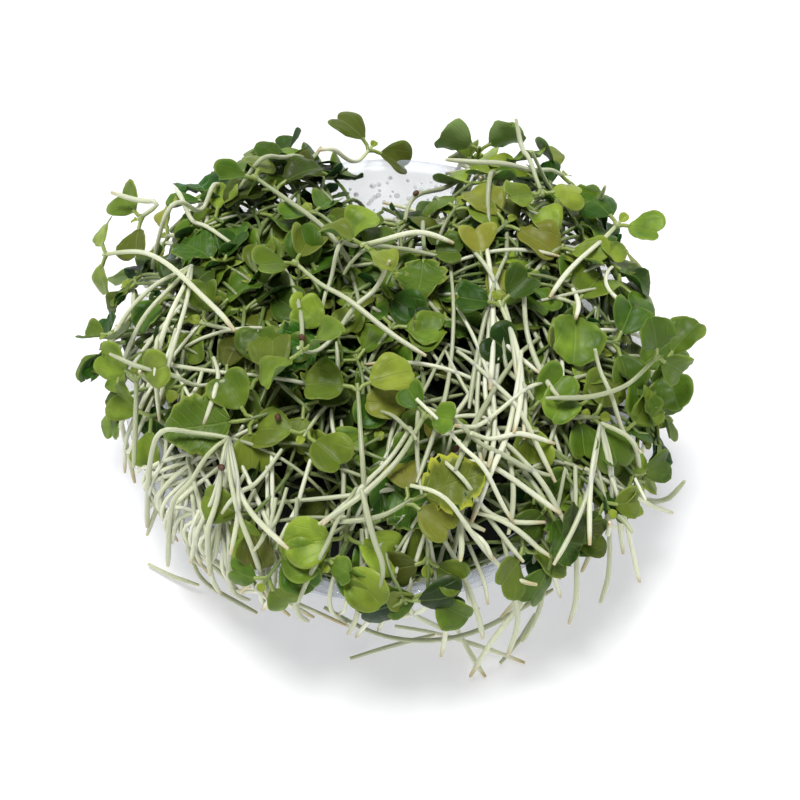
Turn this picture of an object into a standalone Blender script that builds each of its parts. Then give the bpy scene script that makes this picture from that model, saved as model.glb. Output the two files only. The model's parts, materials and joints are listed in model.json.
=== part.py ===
"""Round clear tray heaped with cut brassica microgreens.

Lengths are written in millimetres and scaled to metres when a mesh is made. The origin is the
middle of the tray's underside, +Z is up and the side seen in the photograph faces -Y.
"""

import math
import random

import bmesh
import bpy
import numpy as np
from mathutils import noise

MM = 0.001

# Tray: a shallow flared dish with a flat foot, pressed flutes and an out-turned rim
FOOT_RADIUS = 38.0
BASE_RADIUS = 40.0
RIM_RADIUS = 53.0
WALL_TOP_RADIUS = 50.6
TRAY_HEIGHT = 30.0
WALL = 1.0
FLUTES = 26
FLUTE_DEPTH = 0.45

# Heap: a flat-topped mound that just passes the rim, with a hollow at the back
HEAP_HEIGHT = 45.0
HEAP_RADIUS = 62.0
HEAP_SQUARENESS = 4.0
HEAP_EDGE = 0.45
HOLLOW_DEPTH = 19.0
HOLLOW_X, HOLLOW_Y = 2.0, 47.0
HOLLOW_WIDE, HOLLOW_LONG = 13.0, 11.0
CORE_BELOW = 5.5
CORE_LUMP = 1.6
CORE_SIDES = 24
CORE_RADIUS = 46.4

# Seedling
STEM_RADIUS = 0.8
STEM_SIDES = 4
BLADE_THICK = 0.66
HUB_LENGTH = 2.4
STIFFNESS = 0.06
GAP = 0.45
SEED = 11

# Grid on which the height of the pile is kept
CELL = 0.5
HALF_GRID = 75.0
SAMPLES = 48

# Colours
TRAY_COLOUR = (0.72, 0.76, 0.84, 0.45)
STEM_COLOUR = (0.72, 0.75, 0.52, 1.0)
LEAF_COLOUR = (0.16, 0.26, 0.05, 1.0)
HEAP_COLOUR = (0.12, 0.20, 0.04, 1.0)

# Half of a leaf's outline, base to tip: (distance along, distance across) in leaf widths
HEART = [(0.0, 0.08), (0.3, 0.09), (0.52, 0.38), (0.84, 0.5), (1.1, 0.3), (0.99, 0.0)]
ROUND = [(0.0, 0.08), (0.35, 0.09), (0.5, 0.34), (0.85, 0.5), (1.2, 0.34), (1.32, 0.0)]
TOOTHED = [
    (0.0, 0.07), (0.22, 0.08), (0.34, 0.36), (0.5, 0.33), (0.62, 0.52), (0.8, 0.42), (0.96, 0.5),
    (1.08, 0.3), (1.26, 0.22), (1.3, 0.0),
]

# Leafy heads that stand out of the heap: x, y, kind, leaf width, height above the heap's skin
ROOTED = [
    (-37, 37, "true", 12.0, 4), (-20, 51, "heart", 9.5, 5), (-32, 47, "heart", 8.5, 4),
    (-41, 43, "heart", 7.5, 4), (-52, 32, "heart", 8.0, 3), (-46, 29, "round", 8.0, 3),
    (-23, 35, "round", 9.0, 4), (-15, 27, "heart", 7.0, 3), (-33, 14, "true", 11.0, 3),
    (-22, -3, "round", 10.0, 3), (-57, 5, "heart", 8.5, 2), (-44, 9, "round", 8.0, 3),
    (-26, -23, "true", 13.0, 4), (-25, -13, "heart", 9.5, 3), (-15, -27, "heart", 9.5, 4),
    (6, -21, "round", 8.0, 2), (2, -2, "heart", 9.0, 4), (-10, 18, "round", 9.0, 3),
    (-1, 13, "round", 7.5, 3), (8, 15, "true", 10.5, 3), (-11, -4, "true", 11.0, 3),
    (15, 28, "heart", 8.5, 4), (25, 24, "round", 10.0, 4), (20, 13, "heart", 8.0, 4),
    (36, 20, "heart", 9.0, 3), (38, 4, "round", 12.0, 4), (49, 30, "heart", 9.5, 4),
    (38, 44, "heart", 9.0, 5), (24, 50, "heart", 10.0, 5), (55, 8, "heart", 9.0, 4),
    (46, -3, "heart", 9.0, 4), (56, -4, "round", 9.0, 2), (28, -21, "heart", 9.5, 3),
    (36, -14, "round", 8.5, 3), (41, -20, "heart", 9.5, 4), (31, -38, "true", 10.0, 2),
    (32, -45, "heart", 9.0, 2), (-7, -46, "round", 10.0, 3), (-20, -46, "round", 9.0, 2),
    (8, -49, "heart", 7.5, 1), (11, 0, "round", 8.0, 2), (-36, 0, "heart", 8.0, 3),
]

# Bunches of pale stems, fused where they cross: knot x, y, height above the skin, and for each
# stem its cut end's x, y, height above the floor and sideways bow
BUNCHES = {
    "stems_front_left": ((-29, -27, 1.5), [
        (-48, -30, 9, -2), (-44, -36, 6, 2), (-38, -41, 5, 3), (-34, -45, 9, 1),
        (-28, -49, 5, 2), (-22, -51, 10, -2), (-17, -50, 22, -3),
    ]),
    "stems_left": ((-38, 12, 2), [
        (-56, -2, 14, -3), (-55, -10, 12, -2), (-50, -17, 20, 2), (-44, -16, 36, 2),
    ]),
    "stems_centre_right": ((20, 2, 3), [
        (13, -31, 45, 5), (18, -33, 45, 2), (26, -28, 45, 3), (30, -14, 45, -2), (9, -27, 45, 4),
    ]),
    "stems_front_right": ((41, -22, 1.5), [
        (31, -50, 8, 2), (38, -46, 5, -1), (42, -41, 9, 2), (48, -35, 7, -2), (52, -26, 14, -1),
    ]),
    "stems_front": ((10, -33, 3), [
        (33, -41, 37, 3), (26, -49, 28, 1), (19, -44, 40, -3), (14, -52, 20, 2),
    ]),
}

# Loose sprigs on top, lowest first: head x, y, cut end x, y, cut end's height above the floor
# (0 for lying on the skin), sideways bow, head's and middle's height above the skin, leaf kind
# and leaf width
SPRIGS = [
    (-47, -14, -48, -28, 9, 0, 3, 2, "heart", 8.5),
    (52, -11, 30, -20, 0, 3, 3, 1, "round", 8.0),
    (-5, -18, -3, -47, 37, 0, 4, 2, "round", 9.0),
    (-16, -14, -20, 12, 0, -2, 4, 2, "round", 8.5),
    (-58, 24, -28, -8, 0, 2, 5, 2, "heart", 8.0),
    (38, 46, 12, 38, 0, 5, 7, 4, "heart", 9.0),
    (-18, 11, 8, -12, 0, -1, 5, 2, "heart", 8.5),
    (-27, 33, -6, 10, 0, 2, 5, 2, "heart", 8.0),
    (5, -40, -10, -44, 0, 2, 4, 1, "true", 12.0),
    (48, 26, 32, 4, 0, -1, 4, 2, "heart", 9.0),
    (-3, 54, -14, 40, 0, 1, 7, 2, "heart", 9.0),
    (8, -26, -12, -46, 30, 2, 4, 3, "heart", 6.5),
    (22, 1, 24, -28, 0, 3, 5, 2, "heart", 8.0),
    (-4, 10, 14, 16, 0, 4, 4, 3, "round", 7.5),
    (32, 30, 25, 57, 46, 0, 4, 3, "heart", 8.0),
    (2, -55, -4, -40, 0, 1, -4, 3, "heart", 6.0),
    (-42, 30, -57, 34, 40, 1, 5, 4, "heart", 9.0),
]


def surface(x, y):
    """Height of the heap's skin above the floor."""
    reach = np.minimum(np.hypot(x, y) / HEAP_RADIUS, 1.0)
    dome = HEAP_HEIGHT * (1 - reach**HEAP_SQUARENESS) ** HEAP_EDGE
    across = (x - HOLLOW_X) / HOLLOW_WIDE
    along = (y - HOLLOW_Y) / HOLLOW_LONG
    return np.maximum(dome - HOLLOW_DEPTH * np.exp(-(across**2) - along**2), 1.2)


def unit(vector):
    return vector / max(np.linalg.norm(vector), 1e-9)


def skin_normal(x, y):
    step = 1.5
    slope_x = (surface(x + step, y) - surface(x - step, y)) / (2 * step)
    slope_y = (surface(x, y + step) - surface(x, y - step)) / (2 * step)
    return unit(np.array([-slope_x, -slope_y, 1.0]))


class Pile:
    """The height of everything that lies there so far, on a square grid."""

    def __init__(self):
        cells = int(2 * HALF_GRID / CELL) + 1
        self.height = np.zeros((cells, cells))

    def cells(self, points, reach):
        span = np.arange(-math.ceil(reach / CELL), math.ceil(reach / CELL) + 1)
        across, along = np.meshgrid(span, span)
        near = np.hypot(across, along) <= reach / CELL + 0.5
        place = np.rint((points[:, :2] + HALF_GRID) / CELL).astype(int)
        last = len(self.height) - 1
        column = np.clip(place[:, :1] + across[near], 0, last)
        row = np.clip(place[:, 1:] + along[near], 0, last)
        return row, column

    def top(self, points, reach):
        return self.height[self.cells(points, reach)].max(axis=1)

    def stamp(self, points, reach, thick):
        row, column = self.cells(points, reach)
        level = np.broadcast_to((points[:, 2] + thick)[:, None], row.shape)
        np.maximum.at(self.height, (row, column), level)

    def stamp_solid(self, solid, spacing=0.7):
        """Stamps points spread over each face."""
        points, faces = solid
        points = np.array(points)
        spread = []
        for face in faces:
            for k in range(1, len(face) - 1):
                a, b, c = points[face[0]], points[face[k]], points[face[k + 1]]
                longest = max(np.linalg.norm(b - a), np.linalg.norm(c - a), np.linalg.norm(c - b))
                steps = max(1, math.ceil(longest / spacing))
                for i in range(steps + 1):
                    for j in range(steps + 1 - i):
                        spread.append(a + (b - a) * i / steps + (c - a) * j / steps)
        self.stamp(np.array(spread), 0.4, 0.0)


def route(head, tail, bow, lift, middle, end):
    """Points from the head to the cut end, over the heap's skin."""
    t = np.linspace(0, 1, SAMPLES)
    step = np.array(tail, float) - np.array(head, float)
    side = unit(np.array([-step[1], step[0]]))
    plan = np.array(head, float) + t[:, None] * step + bow * (4 * t * (1 - t))[:, None] * side
    skin = surface(plan[:, 0], plan[:, 1])
    last = (end - skin[-1]) if end else 1.5
    above = lift * (1 - t) * (1 - 2 * t) + middle * 4 * t * (1 - t) + last * t * (2 * t - 1)
    return np.column_stack([plan, skin + above])


def arch(path):
    """Lifts the path to what a stiff stem could follow."""
    along = np.concatenate([[0], np.cumsum(np.linalg.norm(np.diff(path, axis=0), axis=1))])
    drop = STIFFNESS * (along[:, None] - along[None, :]) ** 2
    lifted = path.copy()
    lifted[:, 2] = (path[:, 2][None, :] - drop).max(axis=1)
    return lifted


def settle(path, pile, from_sample=0):
    """Rests the path on the pile."""
    need = pile.top(path, STEM_RADIUS + GAP) + STEM_RADIUS + GAP
    resting = path.copy()
    resting[from_sample:, 2] = np.maximum(path[:, 2], need)[from_sample:]
    return arch(resting)


def along_path(path, distances):
    along = np.concatenate([[0], np.cumsum(np.linalg.norm(np.diff(path, axis=0), axis=1))])
    return np.column_stack([np.interp(distances, along, path[:, k]) for k in range(3)])


def length_of(path):
    return np.linalg.norm(np.diff(path, axis=0), axis=1).sum()


def coarse(path, steps, pile):
    """A few points along the path, lifted where the straight lines between them come too low."""
    knots = along_path(path, np.linspace(0, length_of(path), steps))
    place = np.linspace(0, steps - 1, 10 * steps)
    for _ in range(8):
        fine = np.column_stack([np.interp(place, range(steps), knots[:, k]) for k in range(3)])
        short = pile.top(fine, STEM_RADIUS + 0.1) + STEM_RADIUS + 0.3 - fine[:, 2]
        if short.max() <= 0:
            break
        for k in range(steps):
            near = np.abs(place - k) < 1.0
            knots[k, 2] += max(0.0, short[near].max())
    return knots


def tube(points, radius, sides=STEM_SIDES):
    """A closed tube along the points, as (points, faces)."""
    points = np.array(points)
    tangents = np.gradient(points, axis=0)
    tangents /= np.linalg.norm(tangents, axis=1)[:, None]
    normal = unit(np.cross(tangents[0], [0.31, 0.17, 0.93]))
    corners, faces = [], []
    for point, tangent in zip(points, tangents):
        normal = unit(normal - tangent * (normal @ tangent))
        across = np.cross(tangent, normal)
        for k in range(sides):
            turn = 2 * math.pi * k / sides
            corners.append(point + radius * (math.cos(turn) * normal + math.sin(turn) * across))
    for ring in range(len(points) - 1):
        for k in range(sides):
            a, b = ring * sides + k, ring * sides + (k + 1) % sides
            faces.append((a, b, b + sides))
            faces.append((a, b + sides, a + sides))
    last = len(corners) - sides
    for k in range(1, sides - 1):
        faces.append((0, k + 1, k))
        faces.append((last, last + k, last + k + 1))
    return corners, faces


def blade(root, forward, normal, width, kind, cup):
    """A leaf of even thickness, with its underside's triangles like its top's."""
    half = {"heart": HEART, "round": ROUND, "true": TOOTHED}[kind]
    outline = [(u, -v) for u, v in half] + [(u, v) for u, v in reversed(half[:-1])]
    side = np.cross(normal, forward)
    middle = (0.62 * half[-1][0], 0.0)
    flat = outline + [middle]
    corners = []
    for level in (0.5, -0.5):
        for k, (u, v) in enumerate(flat):
            wave = 0.05 * (-1) ** k if kind == "true" and 1 < k < len(outline) - 2 else 0.0
            rise = cup * (v * v * 2.2 - 0.35 * u * u) + wave
            place = root + width * (forward * u + side * v + normal * rise)
            corners.append(place + normal * BLADE_THICK * level)
    count, centre = len(outline), len(outline)
    under = len(flat)
    top = [(0, 1, count - 2), (0, count - 2, count - 1)]
    for k in range(1, count - 2):
        top.append((centre, k, k + 1))
    top.append((centre, count - 2, 1))
    faces = list(top)
    faces += [(c + under, b + under, a + under) for a, b, c in top]
    for k in range(count):
        following = (k + 1) % count
        faces.append((k, k + under, following + under))
        faces.append((k, following + under, following))
    return corners, faces


def head_frame(path):
    """Tangent, outward normal and side at the head."""
    start = along_path(path, [0.0, 3.0])
    tangent = unit(start[0] - start[1])
    outward = skin_normal(path[0, 0], path[0, 1]) + np.array([0, 0, 0.6])
    normal = outward - tangent * (outward @ tangent)
    if np.linalg.norm(normal) < 0.2:
        normal = np.cross(tangent, [1.0, 0.0, 0.0])
    normal = unit(normal)
    return tangent, normal, np.cross(tangent, normal)


def leaves(path, kind, width, dice):
    """The leaf blades at a path's head."""
    tangent, normal, side = head_frame(path)
    roll = math.radians(dice.uniform(-28, 28))
    normal, side = (
        normal * math.cos(roll) + side * math.sin(roll),
        side * math.cos(roll) - normal * math.sin(roll),
    )
    root = path[0] - tangent * 0.7
    blades = []
    spreads = (-1, 1, 0.15) if kind == "true" else (-1, 1)
    for turn in spreads:
        shape = "heart" if kind == "true" and abs(turn) == 1 else kind
        size = 0.72 * width if kind == "true" and abs(turn) == 1 else width
        spread = math.radians(dice.uniform(62, 80)) * turn
        pitch = math.radians(dice.uniform(-6, 14))
        flat = tangent * math.cos(spread) + side * math.sin(spread)
        forward = flat * math.cos(pitch) + normal * math.sin(pitch)
        face = normal * math.cos(pitch) - flat * math.sin(pitch)
        blades.append(blade(root, forward, face, size, shape, dice.uniform(0.05, 0.3)))
    return blades


def rest_head(path, kind, width, pile, steps, seed):
    """Raises the head until its leaves clear the pile, and returns the stem's points and the blades."""
    knots = coarse(path, steps, pile)
    for _ in range(8):
        blades = leaves(knots, kind, width, random.Random(seed))
        points = np.concatenate([np.array(corners) for corners, _ in blades])
        middles = np.concatenate(
            [np.array(corners)[np.array(faces)].mean(axis=1) for corners, faces in blades]
        )
        points = np.concatenate([points, middles])
        short = (pile.top(points, 0.7) + GAP - points[:, 2]).max()
        if short <= 0:
            break
        path = path.copy()
        path[0, 2] += short + 0.1
        path = arch(path)
        knots = coarse(path, steps, pile)
    return knots, blades


def new_object(name, solid, material):
    points, faces = solid
    mesh = bpy.data.meshes.new(name)
    mesh.from_pydata([tuple(MM * float(c) for c in point) for point in points], [], faces)
    work = bmesh.new()
    work.from_mesh(mesh)
    bmesh.ops.recalc_face_normals(work, faces=work.faces)
    work.to_mesh(mesh)
    work.free()
    mesh.materials.append(material)
    obj = bpy.data.objects.new(name, mesh)
    bpy.context.scene.collection.objects.link(obj)
    return obj


def fuse(name, solids, material):
    """One body from solids that overlap: a Boolean union, of which the largest piece is kept."""
    base = new_object(name, solids[0], material)
    parts = bpy.data.collections.new(name + "_parts")
    bpy.context.scene.collection.children.link(parts)
    for k, solid in enumerate(solids[1:]):
        part = new_object(f"{name}_part_{k}", solid, material)
        bpy.context.scene.collection.objects.unlink(part)
        parts.objects.link(part)
    union = base.modifiers.new("union", "BOOLEAN")
    union.operation = "UNION"
    union.operand_type = "COLLECTION"
    union.collection = parts
    union.solver = "MANIFOLD"
    bpy.context.view_layer.update()
    graph = bpy.context.evaluated_depsgraph_get()
    fused = bpy.data.meshes.new_from_object(base.evaluated_get(graph))
    base.modifiers.clear()
    base.data = fused
    for part in list(parts.objects):
        bpy.data.objects.remove(part)
    bpy.data.collections.remove(parts)
    keep_largest(base.data)
    fused.materials.clear()
    fused.materials.append(material)
    return base


def keep_largest(mesh):
    """Drops sealed hollows and loose scraps."""
    work = bmesh.new()
    work.from_mesh(mesh)
    bmesh.ops.triangulate(work, faces=work.faces)
    work.faces.ensure_lookup_table()
    unseen = set(work.faces)
    islands = []
    while unseen:
        edge_of = [unseen.pop()]
        island = list(edge_of)
        while edge_of:
            face = edge_of.pop()
            for edge in face.edges:
                for other in edge.link_faces:
                    if other in unseen:
                        unseen.discard(other)
                        edge_of.append(other)
                        island.append(other)
        islands.append(island)
    islands.sort(key=lambda faces: sum(f.calc_area() for f in faces))
    for island in islands[:-1]:
        bmesh.ops.delete(work, geom=island, context="FACES")
    loose = [v for v in work.verts if not v.link_faces]
    bmesh.ops.delete(work, geom=loose, context="VERTS")
    bmesh.ops.recalc_face_normals(work, faces=work.faces)
    work.to_mesh(mesh)
    work.free()
    if len(islands) > 1:
        print(mesh.name, "kept 1 of", len(islands), "shells:", sorted(map(len, islands))[-4:])


def lathe(profile, sides, wave):
    """Turns a profile of (radius, height, share of the flutes) round the Z axis."""
    points, faces, rings = [], [], []
    for radius, height, share in profile:
        if radius == 0:
            rings.append([len(points)] * sides)
            points.append((0.0, 0.0, height))
            continue
        rings.append(list(range(len(points), len(points) + sides)))
        for k in range(sides):
            turn = 2 * math.pi * k / sides
            r = radius + share * wave * (-1) ** k
            points.append((r * math.cos(turn), r * math.sin(turn), height))
    for lower, upper in zip(rings, rings[1:]):
        for k in range(sides):
            a, b = lower[k], lower[(k + 1) % sides]
            d, c = upper[k], upper[(k + 1) % sides]
            if a != b:
                faces.append((a, b, c))
            if c != d:
                faces.append((a, c, d))
    return points, faces


def inner_radius(height):
    """Radius of the tray's inside at a height."""
    share = (height - WALL) / (TRAY_HEIGHT - 1.4 - WALL)
    return BASE_RADIUS - WALL + share * (WALL_TOP_RADIUS - BASE_RADIUS)


def build_tray(material):
    top = TRAY_HEIGHT
    profile = [
        (0.0, 0.0, 0.0),
        (FOOT_RADIUS, 0.0, 0.0),
        (BASE_RADIUS, 1.6, 0.0),
        (BASE_RADIUS + 1.6, 5.0, 1.0),
        (WALL_TOP_RADIUS - 1.0, top - 4.0, 1.0),
        (WALL_TOP_RADIUS, top - 1.4, 0.0),
        (RIM_RADIUS - 0.5, top - 1.4, 0.0),
        (RIM_RADIUS, top - 0.7, 0.0),
        (RIM_RADIUS - 0.5, top, 0.0),
        (WALL_TOP_RADIUS - 0.6, top, 0.0),
        (WALL_TOP_RADIUS - WALL, top - 0.6, 0.0),
        (WALL_TOP_RADIUS - 1.0 - WALL, top - 3.8, 1.0),
        (BASE_RADIUS + 1.6 - WALL, 5.2, 1.0),
        (BASE_RADIUS - WALL - 0.2, 2.3, 0.0),
        (FOOT_RADIUS - WALL - 0.6, WALL, 0.0),
        (0.0, WALL, 0.0),
    ]
    return new_object("tray", lathe(profile, 2 * FLUTES, FLUTE_DEPTH), material)


def core_solid():
    """The tangle inside the tray, a little below the heap's skin."""
    rings = []
    for share in (0.22, 0.44, 0.64, 0.82, 0.94, 1.0):
        rings.append((CORE_RADIUS * share, None))
    for height in (26.0, 14.0, WALL + 1.2):
        rings.append((inner_radius(height) - FLUTE_DEPTH - 0.75, height))
    points = [(0.0, 0.0, HEAP_HEIGHT - CORE_BELOW)]
    for radius, height in rings:
        for k in range(CORE_SIDES):
            turn = 2 * math.pi * k / CORE_SIDES
            x, y = radius * math.cos(turn), radius * math.sin(turn)
            lump = CORE_LUMP * noise.noise((x / 9.0, y / 9.0, 3.0))
            level = height or float(surface(x, y)) - CORE_BELOW + lump
            points.append((x, y, max(level, 8.0) if height is None else height))
    points.append((0.0, 0.0, WALL + 0.9))
    faces = []
    for k in range(CORE_SIDES):
        following = (k + 1) % CORE_SIDES
        faces.append((0, 1 + k, 1 + following))
        for ring in range(len(rings) - 1):
            a, b = 1 + ring * CORE_SIDES + k, 1 + ring * CORE_SIDES + following
            faces.append((a, a + CORE_SIDES, b + CORE_SIDES))
            faces.append((a, b + CORE_SIDES, b))
        last = 1 + (len(rings) - 1) * CORE_SIDES
        faces.append((last + k, len(points) - 1, last + following))
    return points, faces


def rooted_seedling(row, seed, rim):
    """A leafy head whose stem runs down into the core."""
    x, y, kind, width, lift = row
    dice = random.Random(seed)
    outward = math.hypot(x, y)
    reach = max(15.0, outward - 41.0)
    inward = math.atan2(-y, -x) + dice.uniform(-0.5, 0.5) * (1.0 if outward > 20 else 6.0)
    if outward > 46:
        inward = math.atan2(-y, -x) + dice.uniform(-0.15, 0.15)
    tail = (x + reach * math.cos(inward), y + reach * math.sin(inward))
    root = float(surface(*tail)) - CORE_BELOW - 5.0
    path = route((x, y), tail, dice.uniform(-2, 2), lift - 2.5, -0.5, root)
    knots, blades = rest_head(settle(path, rim), kind, width, rim, 5, seed)
    return [tube(knots, STEM_RADIUS)] + blades


def build_heap(pile, material):
    rim = Pile()
    rim.height[:] = pile.height
    solids = [core_solid()]
    for k, row in enumerate(ROOTED):
        solids += rooted_seedling(row, SEED * 100 + k, rim)
    for solid in solids:
        pile.stamp_solid(solid)
    return fuse("greens_heap", solids, material)


def build_bunch(name, knot, stems, pile, material):
    x, y, lift = knot
    solids = []
    for tail_x, tail_y, end, bow in stems:
        path = settle(route((x, y), (tail_x, tail_y), bow, lift, 1.0, end), pile)
        steps = max(4, round(length_of(path) / 6.5))
        solids.append(tube(coarse(path, steps, pile), STEM_RADIUS))
    for solid in solids:
        pile.stamp_solid(solid)
    return fuse(name, solids, material)


def build_sprig(number, row, pile, stem_material, leaf_material):
    x, y, tail_x, tail_y, end, bow, lift, middle, kind, width = row
    name = f"sprig_{number:02d}"
    path = settle(route((x, y), (tail_x, tail_y), bow, lift, middle, end), pile)
    steps = max(4, round(length_of(path) / 6.5))
    knots, blades = rest_head(path, kind, width, pile, steps, SEED * 200 + number)
    hub = tube(along_path(knots, [0.0, HUB_LENGTH]), STEM_RADIUS)
    stem = tube(np.vstack([along_path(knots, [HUB_LENGTH + 0.4]), knots[1:]]), STEM_RADIUS)
    for solid in [stem, hub] + blades:
        pile.stamp_solid(solid)
    new_object(name + "_stem", stem, stem_material)
    fuse(name + "_leaves", [hub] + blades, leaf_material)


def material_of(name, colour, roughness):
    material = bpy.data.materials.new(name)
    material.use_nodes = True
    shader = material.node_tree.nodes["Principled BSDF"]
    shader.inputs["Base Color"].default_value = colour
    shader.inputs["Roughness"].default_value = roughness
    shader.inputs["Metallic"].default_value = 0.0
    shader.inputs["Alpha"].default_value = colour[3]
    material.diffuse_color = colour
    return material


def main():
    for obj in list(bpy.data.objects):
        bpy.data.objects.remove(obj)
    tray_material = material_of("tray_plastic", TRAY_COLOUR, 0.15)
    stem_material = material_of("stem_flesh", STEM_COLOUR, 0.45)
    leaf_material = material_of("leaf_flesh", LEAF_COLOUR, 0.5)
    heap_material = material_of("heap_greens", HEAP_COLOUR, 0.6)
    pile = Pile()
    tray = build_tray(tray_material)
    for polygon in tray.data.polygons:
        polygon.use_smooth = False
    turn = np.linspace(0, 2 * math.pi, 900)
    for radius in np.arange(WALL_TOP_RADIUS - WALL, RIM_RADIUS, 0.5):
        ring = [radius * np.cos(turn), radius * np.sin(turn), np.full(900, TRAY_HEIGHT)]
        pile.stamp(np.column_stack(ring), 0.5, 0.0)
    build_heap(pile, heap_material)
    for name, (knot, stems) in BUNCHES.items():
        build_bunch(name, knot, stems, pile, stem_material)
    for number, row in enumerate(SPRIGS, 1):
        build_sprig(number, row, pile, stem_material, leaf_material)


main()
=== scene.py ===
"""Cut brassica microgreens heaped in a round tray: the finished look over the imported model.

Lengths are in millimetres until a mesh is made. The origin is the middle of the tray's underside,
+Z is up and the side seen by the camera faces -Y.
"""

import json
import math
import random

import bpy
import numpy as np
from mathutils import Matrix, Vector, noise
from mathutils.bvhtree import BVHTree

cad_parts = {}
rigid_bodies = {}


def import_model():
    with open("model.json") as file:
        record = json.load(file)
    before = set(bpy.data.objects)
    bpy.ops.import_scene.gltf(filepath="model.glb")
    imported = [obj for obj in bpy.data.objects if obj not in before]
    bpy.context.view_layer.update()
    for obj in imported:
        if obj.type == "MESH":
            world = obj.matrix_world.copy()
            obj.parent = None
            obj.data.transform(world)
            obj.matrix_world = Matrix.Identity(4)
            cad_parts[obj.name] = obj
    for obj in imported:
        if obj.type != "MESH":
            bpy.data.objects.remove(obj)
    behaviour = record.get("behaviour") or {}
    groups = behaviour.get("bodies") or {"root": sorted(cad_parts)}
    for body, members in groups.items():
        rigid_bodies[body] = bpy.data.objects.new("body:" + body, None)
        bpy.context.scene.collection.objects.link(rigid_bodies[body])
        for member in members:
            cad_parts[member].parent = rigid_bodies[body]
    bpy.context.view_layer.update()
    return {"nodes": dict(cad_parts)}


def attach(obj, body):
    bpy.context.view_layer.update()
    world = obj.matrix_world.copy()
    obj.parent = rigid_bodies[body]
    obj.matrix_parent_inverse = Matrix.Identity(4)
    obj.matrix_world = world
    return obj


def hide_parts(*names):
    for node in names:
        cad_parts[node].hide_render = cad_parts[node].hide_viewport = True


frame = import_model()

MM = 0.001

# Tray
FOOT_RADIUS = 38.0
BASE_RADIUS = 40.0
RIM_RADIUS = 53.0
WALL_TOP_RADIUS = 50.6
TRAY_HEIGHT = 30.0
WALL = 1.0
FLUTES = 26
FLUTE_DEPTH = 0.6

# Heap; the exponents shape its dome, and the hollow at the back shows the tray
HEAP_HEIGHT = 45.0
HEAP_RADIUS = 62.0
HEAP_SQUARENESS = 4.0
HEAP_EDGE = 0.45
HOLLOW_DEPTH = 19.0
HOLLOW_X, HOLLOW_Y = 2.0, 47.0
HOLLOW_WIDE, HOLLOW_LONG = 13.0, 11.0
SKIN_LOWEST = 1.2
ABOVE_ALL = 95.0
ROOT_DEPTH = 10.5

# Shaded tangle that fills the tray under the greens
CORE_RADIUS = 44.0
CORE_DEPTH = 12.0
CORE_LOWEST = 6.0
CORE_GAP = 4.0
CORE_RINGS, CORE_SEGMENTS = 16, 48

# Seedlings; a stem's thickness is its radius. A stiff stem drops by STIFFNESS times the square of
# the distance from what carries it
STIFFNESS = 0.06
SAMPLES = 48
STEM_THICK = 0.48
PETIOLE_THICK = 0.4
LEAF_SCALE = 0.93
RIM_INSIDE, RIM_OUTSIDE, OVER_RIM = 48.4, 54.2, 31.25

# How many of each
UNDER_HEADS = 420
STRAYS = 90
BEDDING = 70
WALL_STEMS = 120
WALL_LEAVES = 150
DROPS, DROPS_AT_HOLLOW = 240, 190
HUSKS = 7

# Seeds of the random draws
SEED = 11
WALL_SEED = 29
CURTAIN_SEED = 37
DROP_SEED = 41
HUSK_SEED = 57
UNDER_SEED = 71
STRAY_SEED = 83

# Light and camera, in millimetres and degrees
SUN_POWER = 3.35
SUN_WIDTH = 24.0
SUN_FROM = (-0.14, 0.2, 1.0)
SOFT_LIGHT = 0.07
LOOK_AT = (3.0, -2.9, 20.0)
DISTANCE = 366.0
VIEW_RISE = 58.0
LENS, SENSOR = 80.0, 36.0

# Points on half of a leaf's outline, base to tip: (distance along, distance across) in leaf widths
HEART = [
    (0.0, 0.045), (0.06, 0.15), (0.17, 0.29), (0.32, 0.41), (0.5, 0.49), (0.67, 0.49),
    (0.8, 0.415), (0.87, 0.29), (0.865, 0.16), (0.8, 0.055), (0.75, 0.0),
]
ROUND = [
    (0.0, 0.05), (0.07, 0.18), (0.2, 0.34), (0.38, 0.455), (0.57, 0.5), (0.74, 0.46),
    (0.88, 0.35), (0.96, 0.19), (0.97, 0.08), (0.95, 0.0),
]
TOOTHED = [
    (0.0, 0.05), (0.05, 0.2), (0.1, 0.35), (0.17, 0.33), (0.22, 0.45), (0.31, 0.53),
    (0.37, 0.47), (0.46, 0.54), (0.55, 0.46), (0.64, 0.5), (0.71, 0.4), (0.8, 0.37),
    (0.87, 0.25), (0.94, 0.19), (1.0, 0.08), (1.02, 0.0),
]

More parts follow.
